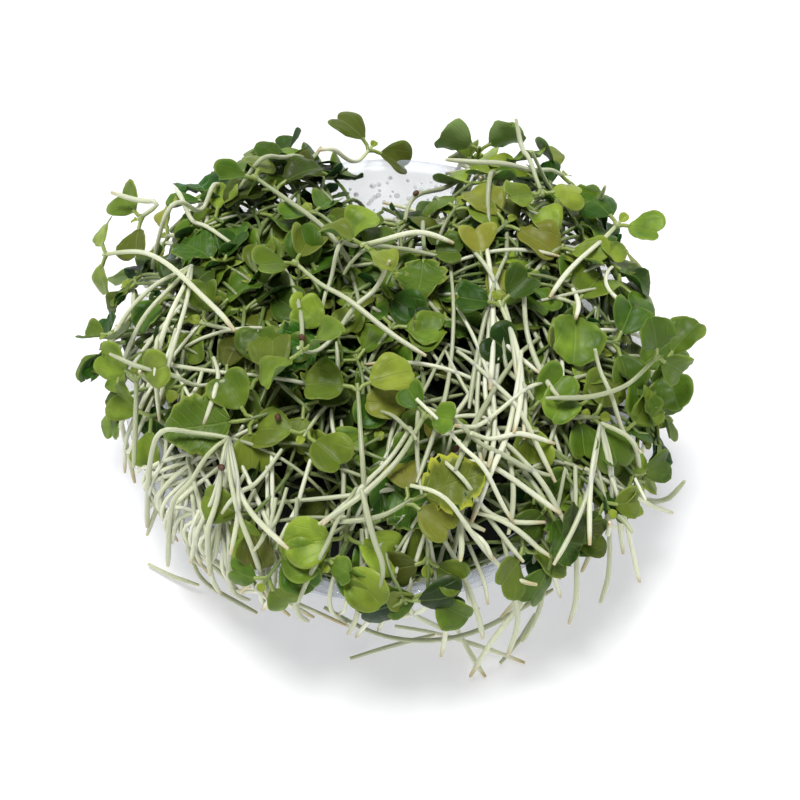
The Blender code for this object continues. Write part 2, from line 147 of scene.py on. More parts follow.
# Leafy heads that stand out of the heap: x, y, kind, leaf width, height above the heap's skin
ROOTED = [
    (-37, 37, "true", 12.0, 4), (-20, 51, "heart", 9.5, 5), (-32, 47, "heart", 8.5, 4),
    (-41, 43, "heart", 7.5, 4), (-52, 32, "heart", 8.0, 3), (-46, 29, "round", 8.0, 3),
    (-23, 35, "round", 9.0, 4), (-15, 27, "heart", 7.0, 3), (-33, 14, "true", 11.0, 3),
    (-22, -3, "round", 10.0, 3), (-57, 5, "heart", 8.5, 2), (-44, 9, "round", 8.0, 3),
    (-26, -23, "true", 13.0, 4), (-25, -13, "heart", 9.5, 3), (-15, -27, "heart", 9.5, 4),
    (6, -21, "round", 8.0, 2), (2, -2, "heart", 9.0, 4), (-10, 18, "round", 9.0, 3),
    (-1, 13, "round", 7.5, 3), (8, 15, "true", 10.5, 3), (-11, -4, "true", 11.0, 3),
    (15, 28, "heart", 8.5, 4), (25, 24, "round", 10.0, 4), (20, 13, "heart", 8.0, 4),
    (36, 20, "heart", 9.0, 3), (38, 4, "round", 12.0, 4), (49, 30, "heart", 9.5, 4),
    (38, 44, "heart", 9.0, 5), (24, 50, "heart", 10.0, 5), (55, 8, "heart", 9.0, 4),
    (46, -3, "heart", 9.0, 4), (56, -4, "round", 9.0, 2), (28, -21, "heart", 9.5, 3),
    (36, -14, "round", 8.5, 3), (41, -20, "heart", 9.5, 4), (31, -38, "true", 10.0, 2),
    (32, -45, "heart", 9.0, 2), (-7, -46, "round", 10.0, 3), (-20, -46, "round", 9.0, 2),
    (8, -49, "heart", 7.5, 1), (11, 0, "round", 8.0, 2), (-36, 0, "heart", 8.0, 3),
]

# Bunches of pale stems: knot x, y, height above the skin, and for each stem its cut end's x, y,
# height above the floor and sideways bow
BUNCHES = {
    "stems_front_left": ((-29, -27, 1.5), [
        (-48, -30, 9, -2), (-44, -36, 6, 2), (-38, -41, 5, 3), (-34, -45, 9, 1),
        (-28, -49, 5, 2), (-22, -51, 10, -2), (-17, -50, 22, -3),
    ]),
    "stems_left": ((-38, 12, 2), [
        (-56, -2, 14, -3), (-55, -10, 12, -2), (-50, -17, 20, 2), (-44, -16, 36, 2),
    ]),
    "stems_centre_right": ((20, 2, 3), [
        (13, -31, 45, 5), (18, -33, 45, 2), (26, -28, 45, 3), (30, -14, 45, -2), (9, -27, 45, 4),
    ]),
    "stems_front_right": ((41, -22, 1.5), [
        (31, -50, 8, 2), (38, -46, 5, -1), (42, -41, 9, 2), (48, -35, 7, -2), (52, -26, 14, -1),
    ]),
    "stems_front": ((10, -33, 3), [
        (33, -41, 37, 3), (26, -49, 28, 1), (19, -44, 40, -3), (14, -52, 20, 2),
    ]),
}

# Loose sprigs on top: head x, y, cut end x, y, cut end's height above the floor (0 for lying on
# the skin), sideways bow, head's and middle's height above the skin, leaf kind and leaf width
SPRIGS = [
    (-47, -14, -48, -28, 9, 0, 3, 2, "heart", 8.5),
    (52, -11, 30, -20, 0, 3, 3, 1, "round", 8.0),
    (-5, -18, -3, -47, 37, 0, 4, 2, "round", 9.0),
    (-16, -14, -20, 12, 0, -2, 4, 2, "round", 8.5),
    (-58, 24, -28, -8, 0, 2, 5, 2, "heart", 8.0),
    (38, 46, 12, 38, 0, 5, 7, 4, "heart", 9.0),
    (-18, 11, 8, -12, 0, -1, 5, 2, "heart", 8.5),
    (-27, 33, -6, 10, 0, 2, 5, 2, "heart", 8.0),
    (5, -40, -10, -44, 0, 2, 4, 1, "true", 12.0),
    (48, 26, 32, 4, 0, -1, 4, 2, "heart", 9.0),
    (-3, 54, -14, 40, 0, 1, 7, 2, "heart", 9.0),
    (8, -26, -12, -46, 30, 2, 4, 3, "heart", 6.5),
    (22, 1, 24, -28, 0, 3, 5, 2, "heart", 8.0),
    (-4, 10, 14, 16, 0, 4, 4, 3, "round", 7.5),
    (32, 30, 25, 57, 46, 0, 4, 3, "heart", 8.0),
    (2, -55, -4, -40, 0, 1, -4, 3, "heart", 6.0),
    (-42, 30, -57, 34, 40, 1, 5, 4, "heart", 9.0),
]

# Sprigs whose stem ends sooner, and the share of it that is left
KEPT = {15: 0.72}

# More loose stems on top, in the same columns. A row without a kind is a bare stem, and "top"
# is a bare stem that lies clear of the rest
LOOSE = [
    (-55, 1, -52, 17, 0, -2, -2, 3, "heart", 6.5), (-16, -13, 1, 5, 0, 1, 2, 2),
    (-12, 1, -5, 17, 0, 1, 1, 2), (-8, 8, 12, 14, 0, 3, 1, 3), (13, 49, 20, 40, 0, 2, 2, 2),
    (26, 47, 21, 23, 0, -2, 3, 2, "heart", 7), (46, 17, 50, 4, 0, -4, 0, 3),
    (37, 10, 37, -1, 0, 1, 1, 2), (38, -30, 47, -40, 30, 1, 1, 2),
    (40, -10, 49, -26, 33, -1, 2, 3), (14, 0, 19, -36, 0, 4, 3, 3, "top"),
    (12, -7, 7, -40, 0, -3, 2, 3), (5, -39, 28, -53, 22, 0, 4, 5, "top"),
    (19, -6, 18, -34, 0, -1, 2, 3), (22, -4, 24, -32, 0, -4, 2, 3),
    (32, -14, 13, -30, 0, 0, 4, 4, "top"), (8, -26, 20, -25, 0, 3, 1, 3),
    (23, -4, 28, -20, 0, -2, 2, 3), (10, -33, 30, -41, 0, -4, 1, 3),
    (23, -30, 23, -44, 0, 1, 1, 2), (17, -41, 31, -47, 28, 1, 1, 3),
    (14, -43, 20, -49, 34, 1, 1, 2), (5, -27, -11, -46, 0, 0, 2, 4),
    (-5, -38, -16, -54, 28, 1, 2, 3), (-19, -29, -30, -40, 0, 1, 3, 3),
    (-18, -36, -24, -48, 31, 1, 2, 3), (-1, -22, 6, -31, 0, 1, 2, 2),
    (-44, 0, -46, -15, 0, 1, 1, 2), (-35, -11, -41, -26, 34, 1, 2, 3),
    (-30, -16, -52, -11, 34, 2, 1, 3), (-40, -4, -43, -20, 0, -1, 1, 3),
    (-33, -8, -34, -24, 0, 2, 1, 2), (43, -30, 59, -25, 25, -1, 0, 1),
    (-31, 18, -44, 38, 0, 2, 2, 2), (4, 24, 16, 44, 0, 3, 2, 2), (-30, 34, -14, 52, 0, -2, 1, 3),
    (20, 19, 20, -18, 0, 1, 2, 2), (24, 14, 16, -21, 0, -1, 2, 2), (17, 17, 25, -15, 0, 2, 1, 2),
    (14, -8, 32, -34, 0, 1, 1, 2), (30, -4, 13, -37, 0, -2, 1, 2), (26, -10, 16, -43, 0, 2, 2, 1),
    (6, -24, 24, -42, 0, 0, 1, 2), (13, 12, 6, -38, 0, 3, 2, 2), (8, -25, 31, -33, 0, -2, 1, 1),
    (22, -28, 34, -41, 36, 1, 2, 2), (16, -30, 32, -27, 0, 1, 1, 1),
    (27, 6, 33, -20, 0, -2, 1, 2), (30, 40, 45, 33, 0, 2, 2, 2), (-48, 20, -34, 40, 0, -3, 1, 2),
]

# Rows of stems over the rim: first and last direction in degrees, count, the place that they
# spread from, and how far the ends draw in for each millimetre of drop
CURTAINS = [
    (-154, -108, 26, (-27, -28), 0.3), (-148, -112, 10, (-40, -14), 0.3),
    (-60, -26, 15, (39, -24), 0.1), (-104, -66, 9, (8, -32), 0.25),
    (150, 205, 12, (-36, 6), 0.0), (20, 80, 7, (28, 22), 0.0), (-20, 15, 6, (40, 0), 0.0),
]

# Stems that hang down outside the tray or lie at its foot, as points from top to cut end
HANGING = [
    [(-38, -24, 36), (-43, -27, 27), (-48, -30, 12)],
    [(-28, -34, 41), (-36, -38, 33), (-39, -39, 21), (-36, -36, 9)],
    [(-24, -36, 42), (-29, -44, 34), (-30, -47, 20), (-27, -43, 9)],
    [(-20, -38, 42), (-22, -47, 35), (-24, -50, 23), (-22, -46, 11)],
    [(-30, -30, 41), (-40, -34, 33), (-44, -33, 21), (-42, -31, 12)],
    [(-16, -38, 42), (-17, -48, 34), (-17, -52, 21), (-15, -49, 12)],
    [(-26, -33, 42), (-33, -42, 33), (-34, -43, 19), (-33, -41, 8)],
    [(-40, -31, 8), (-38, -36, 3), (-30, -40, 1.5), (-26, -42, 0.8)],
    [(-49, -31, 1), (-44, -34, 1.5), (-38, -37, 3.5)],
    [(38, -30, 39), (47, -31, 31), (53, -29, 22), (58, -26, 14)],
    [(40, -28, 39), (43, -37, 31), (44, -42, 18), (43, -43, 8)],
    [(36, -30, 40), (36, -43, 33), (37, -49, 22), (36, -50, 13)],
    [(34, -31, 40), (31, -44, 33), (30, -51, 20), (27, -52, 9)],
    [(42, -28, 38), (46, -36, 31), (49, -39, 18), (51, -39, 9)],
    [(33, -41, 34), (29, -49, 28), (21, -53, 13), (17, -56, 1.2)],
    [(8, -44, 41), (10, -51, 33), (12, -55, 22), (11, -56, 11)],
    [(10, -44, 41), (15, -50, 34), (18, -54, 24), (19, -54, 15)],
    [(2, -45, 1), (10, -47, 2.4), (19, -50, 2.5), (28, -53, 1)],
    [(13, -45, 6), (16, -50, 3), (20, -56, 0.8)],
    [(23, -53, 0.8), (27, -49, 3), (30, -45, 7)],
    [(-7, -52, 0.8), (1, -50, 2.4), (10, -48, 3.5)],
    [(-12, -46, 12), (0, -52, 9), (16, -52, 9), (33, -44, 16)],
    [(-4, -44, 41), (-4, -51, 33), (-5, -54, 24), (-7, -54, 17)],
    [(22, -44, 38), (24, -50, 32), (26, -53, 20), (24, -55, 9)],
]


def surface(x, y):
    """Height of the heap's skin above the floor."""
    reach = np.minimum(np.hypot(x, y) / HEAP_RADIUS, 1.0)
    dome = HEAP_HEIGHT * (1 - reach**HEAP_SQUARENESS) ** HEAP_EDGE
    across = (x - HOLLOW_X) / HOLLOW_WIDE
    along = (y - HOLLOW_Y) / HOLLOW_LONG
    return np.maximum(dome - HOLLOW_DEPTH * np.exp(-(across**2) - along**2), SKIN_LOWEST)


def unit(vector):
    return vector / max(np.linalg.norm(vector), 1e-9)


def polar(radius, turn, *height):
    """The point at this distance and direction from the middle."""
    return (radius * math.cos(turn), radius * math.sin(turn), *height)


def random_spot(reach, dice):
    """A place within reach of the middle, as its distance, x and y."""
    radius, turn = reach * math.sqrt(dice.random()), dice.uniform(0, 2 * math.pi)
    return radius, *polar(radius, turn)


def skin_normal(x, y):
    step = 1.5
    slope_x = (surface(x + step, y) - surface(x - step, y)) / (2 * step)
    slope_y = (surface(x, y + step) - surface(x, y - step)) / (2 * step)
    return unit(np.array([-slope_x, -slope_y, 1.0]))


def inner_radius(height):
    """Radius of the tray's inside at a height."""
    share = (height - WALL) / (TRAY_HEIGHT - 1.4 - WALL)
    return BASE_RADIUS - WALL + share * (WALL_TOP_RADIUS - BASE_RADIUS)


def route(head, tail, bow, lift, middle, end):
    """Points from the head to the cut end, over the heap's skin: lift and middle are heights above
    it, and end is the cut end's height above the floor, or 0 for lying on the skin."""
    lying = 1.5
    t = np.linspace(0, 1, SAMPLES)
    step = np.array(tail, float) - np.array(head, float)
    side = unit(np.array([-step[1], step[0]]))
    plan = np.array(head, float) + t[:, None] * step + bow * (4 * t * (1 - t))[:, None] * side
    skin = surface(plan[:, 0], plan[:, 1])
    last = end - skin[-1] if end else lying
    above = lift * (1 - t) * (1 - 2 * t) + middle * 4 * t * (1 - t) + last * t * (2 * t - 1)
    return np.column_stack([plan, skin + above])


def lengths_along(path):
    return np.concatenate([[0], np.cumsum(np.linalg.norm(np.diff(path, axis=0), axis=1))])


def along_path(path, distances):
    along = lengths_along(path)
    return np.column_stack([np.interp(distances, along, path[:, k]) for k in range(3)])


def arch(path):
    """Lifts the path to what a stiff stem could follow."""
    along = lengths_along(path)
    drop = STIFFNESS * (along[:, None] - along[None, :]) ** 2
    lifted = path.copy()
    lifted[:, 2] = (path[:, 2][None, :] - drop).max(axis=1)
    return lifted


def smooth(path, times=2):
    """Rounds the path off, and lets its cut end run on in its own direction."""
    line = path.copy()
    for _ in range(times):
        line[1:-1] = (line[:-2] + 2 * line[1:-1] + line[2:]) / 4
        line[-1] = 0.7 * line[-1] + 0.3 * (2 * line[-2] - line[-3])
    return line


def over_rim(path):
    """Lifts what would pass through the tray's rim."""
    radius = np.hypot(path[:, 0], path[:, 1])
    over = (radius > RIM_INSIDE) & (radius < RIM_OUTSIDE)
    lifted = path.copy()
    lifted[over, 2] = np.maximum(lifted[over, 2], OVER_RIM)
    return arch(lifted)


def node_tree(names):
    """The model's nodes as one surface to measure from."""
    points, faces = [], []
    for name in names:
        mesh = frame["nodes"][name].data
        base = len(points)
        points += [v.co / MM for v in mesh.vertices]
        faces += [[base + k for k in p.vertices] for p in mesh.polygons]
    return BVHTree.FromPolygons(points, faces)


def top_of(tree, x, y):
    """Where the surface is first met from above."""
    return tree.ray_cast(Vector((x, y, ABOVE_ALL)), Vector((0.0, 0.0, -1.0)))[0]


def follow(plan, tree, level):
    """The middle line of the model's stem under these plan points."""
    found = []
    inside = 0.6
    for x, y in plan:
        hit = top_of(tree, x, y)
        level = hit.z - inside if hit else level
        place, normal, _, _ = tree.find_nearest(Vector((x, y, level)))
        found.append(place - inside * normal)
        level = found[-1].z
    return smooth(np.array(found), 16)


class Pile:
    """The height of everything that lies there, on a square grid."""

    CELL = 0.75
    HALF = 75.0

    def __init__(self, tree):
        cells = int(2 * self.HALF / self.CELL) + 1
        self.height = np.zeros((cells, cells))
        for row in range(cells):
            for column in range(cells):
                x, y = column * self.CELL - self.HALF, row * self.CELL - self.HALF
                hit = top_of(tree, x, y)
                self.height[row, column] = hit.z if hit else 0.0

    def cells(self, points, reach):
        """Row and column of the cells within reach of each point."""
        span = np.arange(-math.ceil(reach / self.CELL), math.ceil(reach / self.CELL) + 1)
        across, along = np.meshgrid(span, span)
        near = np.hypot(across, along) <= reach / self.CELL + 0.3
        place = np.rint((points[:, :2] + self.HALF) / self.CELL).astype(int)
        last = len(self.height) - 1
        column = np.clip(place[:, :1] + across[near], 0, last)
        row = np.clip(place[:, 1:] + along[near], 0, last)
        return row, column

    def top(self, points, reach):
        return self.height[self.cells(points, reach)].max(axis=1)

    def stamp(self, points, reach, thick):
        row, column = self.cells(points, reach)
        level = np.broadcast_to((points[:, 2] + thick)[:, None], row.shape)
        np.maximum.at(self.height, (row, column), level)


# ------------------------------------------------------------------------------ node graphs


class Graph:
    """Adds nodes to a tree: type, settings, then values and links."""

    def __init__(self, tree):
        self.tree = tree

    def add(self, kind, settings=None, values=None):
        node = self.tree.nodes.new(kind)
        for name, value in (settings or {}).items():
            setattr(node, name, value)
        for key, value in (values or {}).items():
            self.feed(node.inputs[key], value)
        return node

    def feed(self, socket, value):
        if isinstance(value, Number):
            value = value.socket
        if isinstance(value, bpy.types.NodeSocket):
            self.tree.links.new(value, socket)
        else:
            socket.default_value = value


class Number:
    """A number on its way between shader nodes, for arithmetic on it."""

    def __init__(self, graph, socket):
        self.graph, self.socket = graph, socket

    def math(self, operation, *others):
        node = self.graph.add("ShaderNodeMath", {"operation": operation})
        for socket, value in zip(node.inputs, (self,) + others):
            self.graph.feed(socket, value)
        return Number(self.graph, node.outputs[0])

    def turned(self, operation, other):
        node = self.graph.add("ShaderNodeMath", {"operation": operation})
        self.graph.feed(node.inputs[0], other)
        self.graph.feed(node.inputs[1], self)
        return Number(self.graph, node.outputs[0])

    def __add__(self, other):
        return self.math("ADD", other)

    def __radd__(self, other):
        return self.turned("ADD", other)

    def __sub__(self, other):
        return self.math("SUBTRACT", other)

    def __rsub__(self, other):
        return self.turned("SUBTRACT", other)

    def __mul__(self, other):
        return self.math("MULTIPLY", other)

    def __rmul__(self, other):
        return self.turned("MULTIPLY", other)

    def __truediv__(self, other):
        return self.math("DIVIDE", other)

    def __rtruediv__(self, other):
        return self.turned("DIVIDE", other)

    def __abs__(self):
        return self.math("ABSOLUTE")

    def most(self, other):
        return self.math("MAXIMUM", other)

    def sine(self):
        return self.math("SINE")

    def ramp(self, low, high):
        """0 below low, 1 above high, smooth between; low may be above high."""
        node = self.graph.add(
            "ShaderNodeMapRange",
            {"interpolation_type": "SMOOTHSTEP"},
            {"Value": self, "From Min": low, "From Max": high},
        )
        return Number(self.graph, node.outputs[0])


class Look(Graph):
    """A material's shader graph."""

    def __init__(self, name, **constants):
        self.material = bpy.data.materials.new(name)
        self.material.use_nodes = True
        super().__init__(self.material.node_tree)
        self.shader = self.tree.nodes["Principled BSDF"]
        for key, value in constants.items():
            label = key.replace("_", " ").title().replace("Ior", "IOR")
            self.shader.inputs[label].default_value = value
        self.place = self.add("ShaderNodeTexCoord").outputs["Object"]

    def attribute(self, name):
        node = self.add("ShaderNodeAttribute", {"attribute_name": name})
        return Number(self, node.outputs["Fac"])

    def noise(self, scale, detail=3.0):
        node = self.add(
            "ShaderNodeTexNoise", None, {"Vector": self.place, "Scale": scale, "Detail": detail}
        )
        return Number(self, node.outputs[0])

    def mix(self, share, first, second):
        node = self.add("ShaderNodeMix", {"data_type": "RGBA"}, {"Factor": share})
        self.feed(node.inputs[6], first)
        self.feed(node.inputs[7], second)
        return node.outputs[2]

    def bump(self, height, strength, distance):
        node = self.add(
            "ShaderNodeBump", None,
            {"Height": height, "Strength": strength, "Distance": distance},
        )
        self.feed(self.shader.inputs["Normal"], node.outputs[0])

    def set(self, key, value):
        self.feed(self.shader.inputs[key], value)


def colour(red, green, blue):
    """An sRGB colour of 0 to 255 as linear light."""
    linear = [
        c / 12.92 if c <= 0.04045 else ((c + 0.055) / 1.055) ** 2.4
        for c in (red / 255, green / 255, blue / 255)
    ]
    return (*linear, 1.0)


# ------------------------------------------------------------------------------ materials


def stem_look():
    """Cream stems, greener towards the head and tan at the cut end; a low tint darkens them,
    partly their own tone and partly painted shade on stems deep in the heap.
    """
    look = Look(
        "stem_skin", roughness=0.36, subsurface_weight=0.5, subsurface_scale=0.0012,
        specular_ior_level=0.4,
    )
    look.shader.inputs["Subsurface Radius"].default_value = (1.0, 1.0, 0.6)
    along, tint = look.attribute("along"), look.attribute("tint")
    # tint runs from dark olive to cream: the stem's own tone, and painted shade where the stem
    # lies deep
    cream = look.mix(tint, colour(98, 112, 58), colour(230, 233, 206))
    green = look.mix(tint, colour(80, 108, 34), colour(158, 172, 92))
    shade = look.mix(along.ramp(-0.25, 0.5), green, cream)
    shade = look.mix(look.noise(150.0).ramp(0.5, 0.85) * 0.3, shade, colour(176, 182, 122))
    cut = along.ramp(0.9, 1.0) * tint.ramp(0.35, 0.9)
    look.set("Base Color", look.mix(cut * 0.75, shade, colour(178, 150, 104)))
    look.bump(look.noise(900.0, 2.0), 0.15, 0.0002)
    return look.material


def leaf_look():
    """Upper sides with veins and a lighter rim, and a paler underside; the tint paints light and
    shade on both sides, and noise adds painted shade patches and painted highlights.
    """
    look = Look(
        "leaf_blade", roughness=0.42, subsurface_weight=0.13, subsurface_scale=0.0009,
        specular_ior_level=0.2,
    )
    look.shader.inputs["Subsurface Radius"].default_value = (0.5, 1.0, 0.2)
    tint, age = look.attribute("tint"), look.attribute("age")
    under, rim, true = look.attribute("under"), look.attribute("rim"), look.attribute("true")
    split = look.add("ShaderNodeSeparateXYZ", None, {
        "Vector": look.add("ShaderNodeUVMap", {"uv_map": "UVMap"}).outputs[0],
    })
    u = Number(look, split.outputs[0])
    v = abs(Number(look, split.outputs[1]) - 0.5)
    rib = v.ramp(0.028, 0.006)
    fan = abs(((v / (u + 0.3)) * 9.0).sine()).ramp(0.16, 0.03) * v.ramp(0.02, 0.08)
    feather = abs(((u - v * 0.75) * 19.0).sine()).ramp(0.3, 0.06) * v.ramp(0.02, 0.06)
    veins = (fan * (1.0 - true) * 0.4 + feather * true * 0.85).most(rib * 0.8)
    veins = veins * rim.ramp(1.0, 0.7)
    patches = look.noise(230.0, 4.0)
    broad = look.noise(55.0, 2.0)
    # lit and the tint ramps below paint light and shade: near black green for shaded blades,
    # yellow green for lit ones
    lit = tint.ramp(0.05, 0.6)
    fresh = look.mix(tint.ramp(0.0, 0.5), colour(8, 42, 8), colour(62, 102, 18))
    fresh = look.mix(tint.ramp(0.45, 1.0), fresh, colour(138, 162, 52))
    fresh = look.mix(broad.ramp(0.4, 0.65) * lit * 0.5, fresh, colour(86, 106, 24))
    # dark patches: painted shade on the blade's crinkles
    fresh = look.mix(patches.ramp(0.4, 0.7) * 0.55, fresh, colour(34, 76, 14))
    # light spots on lit blades: painted highlights
    spots = look.noise(130.0).ramp(0.5, 0.8) * lit * 0.6
    fresh = look.mix(spots, fresh, colour(150, 180, 62))
    fresh = look.mix(true * 0.5, fresh, colour(36, 100, 16))
    fresh = look.mix(age, fresh, colour(152, 146, 56))
    # the pale rim is partly the blade's own colour and partly a painted highlight, stronger on lit
    # blades
    edge = rim.ramp(0.82, 1.0) * (true * 0.4 + age * 0.2 + 0.3) * (lit * 0.7 + 0.3)
    fresh = look.mix(edge, fresh, colour(168, 178, 88))
    gold = rim.ramp(0.6, 1.1) * true * age.ramp(0.15, 0.45)
    fresh = look.mix(gold, fresh, colour(196, 200, 62))
    fresh = look.mix(veins * 0.28, fresh, colour(142, 164, 84))
    # undersides darken with the tint too: painted shade
    pale = look.mix(tint, colour(24, 58, 22), colour(138, 158, 94))
    pale = look.mix(veins * 0.4, pale, colour(162, 176, 122))
    look.set("Base Color", look.mix(under, fresh, pale))
    look.set("Roughness", under * 0.16 + 0.36 + patches * 0.14)
    look.bump(look.noise(280.0, 3.0) * 0.9 - veins * 0.6, 0.5, 0.0006)
    return look.material


def core_look():
    look = Look("shaded_tangle", roughness=0.8)
    # near black: painted shade that stands for the depths of the heap
    shade = look.mix(look.noise(160.0).ramp(0.4, 0.7), colour(5, 9, 8), colour(18, 28, 18))
    look.set("Base Color", shade)
    look.bump(look.noise(400.0), 0.8, 0.002)
    return look.material


def tray_look():
    """Clear plastic, denser where it is seen edge on."""
    look = Look("tray_plastic", roughness=0.1, coat_weight=0.4, coat_roughness=0.04)
    facing = look.add("ShaderNodeLayerWeight", None, {"Blend": 0.35}).outputs["Facing"]
    tint = look.mix(look.noise(60.0), colour(176, 190, 212), colour(226, 233, 243))
    look.set("Base Color", tint)
    look.set("Alpha", Number(look, facing) * 0.52 + 0.18)
    look.bump(look.noise(120.0, 2.0), 0.12, 0.0006)
    return look.material


def water_look():
    look = Look("water_drop", roughness=0.03, alpha=0.35, specular_ior_level=0.9)
    look.set("Base Color", (0.95, 0.97, 1.0, 1.0))
    return look.material


def husk_look():
    look = Look("seed_husk", roughness=0.55)
    look.set("Base Color", look.mix(look.noise(900.0), colour(52, 30, 18), colour(96, 58, 32)))
    look.bump(look.noise(2500.0), 0.5, 0.0002)
    return look.material


def floor_look():
    look = Look("pale_floor", roughness=0.9, emission_strength=1.0)
    look.set("Base Color", colour(205, 205, 206))
    split = look.add("ShaderNodeSeparateXYZ", None, {
        "Vector": look.add("ShaderNodeTexCoord").outputs["Object"],
    })
    rise = Number(look, split.outputs["Z"]).ramp(0.0, 0.25)
    look.set("Emission Color", look.mix(rise, (0.42, 0.42, 0.425, 1.0), (0.5, 0.5, 0.51, 1.0)))
    return look.material


# ------------------------------------------------------------------------------ geometry nodes


def new_object(name, points, faces, edges=(), scale=MM, linked=True):
    mesh = bpy.data.meshes.new(name)
    mesh.from_pydata([tuple(scale * float(c) for c in point) for point in points], edges, faces)
    obj = bpy.data.objects.new(name, mesh)
    if linked:
        bpy.context.scene.collection.objects.link(obj)
    return obj


def give(mesh, name, kind, values):
    """Stores one value for each vertex."""
    layer = mesh.attributes.new(name, kind, "POINT")
    values = np.asarray(values, np.int32 if kind == "INT" else np.float32)
    layer.data.foreach_set("vector" if kind == "FLOAT_VECTOR" else "value", values.ravel())


def node_group(name, inputs):
    tree = bpy.data.node_groups.new(name, "GeometryNodeTree")
    tree.interface.new_socket("Geometry", in_out="INPUT", socket_type="NodeSocketGeometry")
    for label, kind in inputs:
        tree.interface.new_socket(label, in_out="INPUT", socket_type=kind)
    tree.interface.new_socket("Geometry", in_out="OUTPUT", socket_type="NodeSocketGeometry")
    return Graph(tree)


def named(graph, name, kind):
    node = graph.add("GeometryNodeInputNamedAttribute", {"data_type": kind}, {"Name": name})
    return node.outputs[0]


def finish_group(graph, geometry, material):
    """The end of each tree: real geometry, smooth, with its material."""
    whole = graph.add("GeometryNodeRealizeInstances", None, {"Geometry": geometry})
    round_off = graph.add("GeometryNodeSetShadeSmooth", None, {"Geometry": whole.outputs[0]})
    dressed = graph.add(
        "GeometryNodeSetMaterial", None,
        {"Geometry": round_off.outputs[0], "Material": material},
    )
    graph.add("NodeGroupOutput", None, {"Geometry": dressed.outputs[0]})
    return graph.tree


def stem_group():
    """Sweeps a round section along each polyline."""
    graph = node_group("sweep_stems", [
        ("Sides", "NodeSocketInt"), ("Spacing", "NodeSocketFloat"),
        ("Material", "NodeSocketMaterial"),
    ])
    given = graph.add("NodeGroupInput")
    curve = graph.add("GeometryNodeMeshToCurve", None, {"Mesh": given.outputs["Geometry"]})
    curve = graph.add(
        "GeometryNodeCurveSplineType", {"spline_type": "CATMULL_ROM"}, {"Curve": curve.outputs[0]}
    )
    curve = graph.add(
        "GeometryNodeResampleCurve", {"mode": "LENGTH"},
        {"Curve": curve.outputs[0], "Length": given.outputs["Spacing"]},
    )
    section = graph.add(
        "GeometryNodeCurvePrimitiveCircle", None,
        {"Resolution": given.outputs["Sides"], "Radius": MM},
    )
    swept = graph.add("GeometryNodeCurveToMesh", None, {
        "Curve": curve.outputs[0], "Profile Curve": section.outputs[0],
        "Scale": named(graph, "thick", "FLOAT"), "Fill Caps": True,
    })
    return finish_group(graph, swept.outputs[0], given.outputs["Material"])


def scatter_group():
    """Sets one shape from a collection on each point."""
    graph = node_group("set_shapes", [
        ("Shapes", "NodeSocketCollection"), ("Material", "NodeSocketMaterial"),
    ])
    given = graph.add("NodeGroupInput")
    shapes = graph.add("GeometryNodeCollectionInfo", None, {
        "Collection": given.outputs["Shapes"], "Separate Children": True, "Reset Children": True,
    })
    turn = graph.add(
        "FunctionNodeEulerToRotation", None, {"Euler": named(graph, "turn", "FLOAT_VECTOR")}
    )
    placed = graph.add("GeometryNodeInstanceOnPoints", None, {
        "Points": given.outputs["Geometry"], "Instance": shapes.outputs[0],
        "Pick Instance": True, "Instance Index": named(graph, "shape", "INT"),
        "Rotation": turn.outputs[0], "Scale": named(graph, "size", "FLOAT_VECTOR"),
    })
    return finish_group(graph, placed.outputs[0], given.outputs["Material"])


def grown(obj, tree, values):
    """Runs a geometry node group on the object and keeps the mesh it makes."""
    modifier = obj.modifiers.new("grow", "NODES")
    modifier.node_group = tree
    for item in tree.interface.items_tree:
        if item.in_out == "INPUT" and item.name in values:
            modifier[item.identifier] = values[item.name]
    bpy.context.view_layer.update()
    graph = bpy.context.evaluated_depsgraph_get()
    made = bpy.data.meshes.new_from_object(obj.evaluated_get(graph))
    obj.modifiers.clear()
    plain = obj.data
    obj.data = made
    made.name = obj.name
    bpy.data.meshes.remove(plain)
    return obj


# ------------------------------------------------------------------------------ leaf shapes


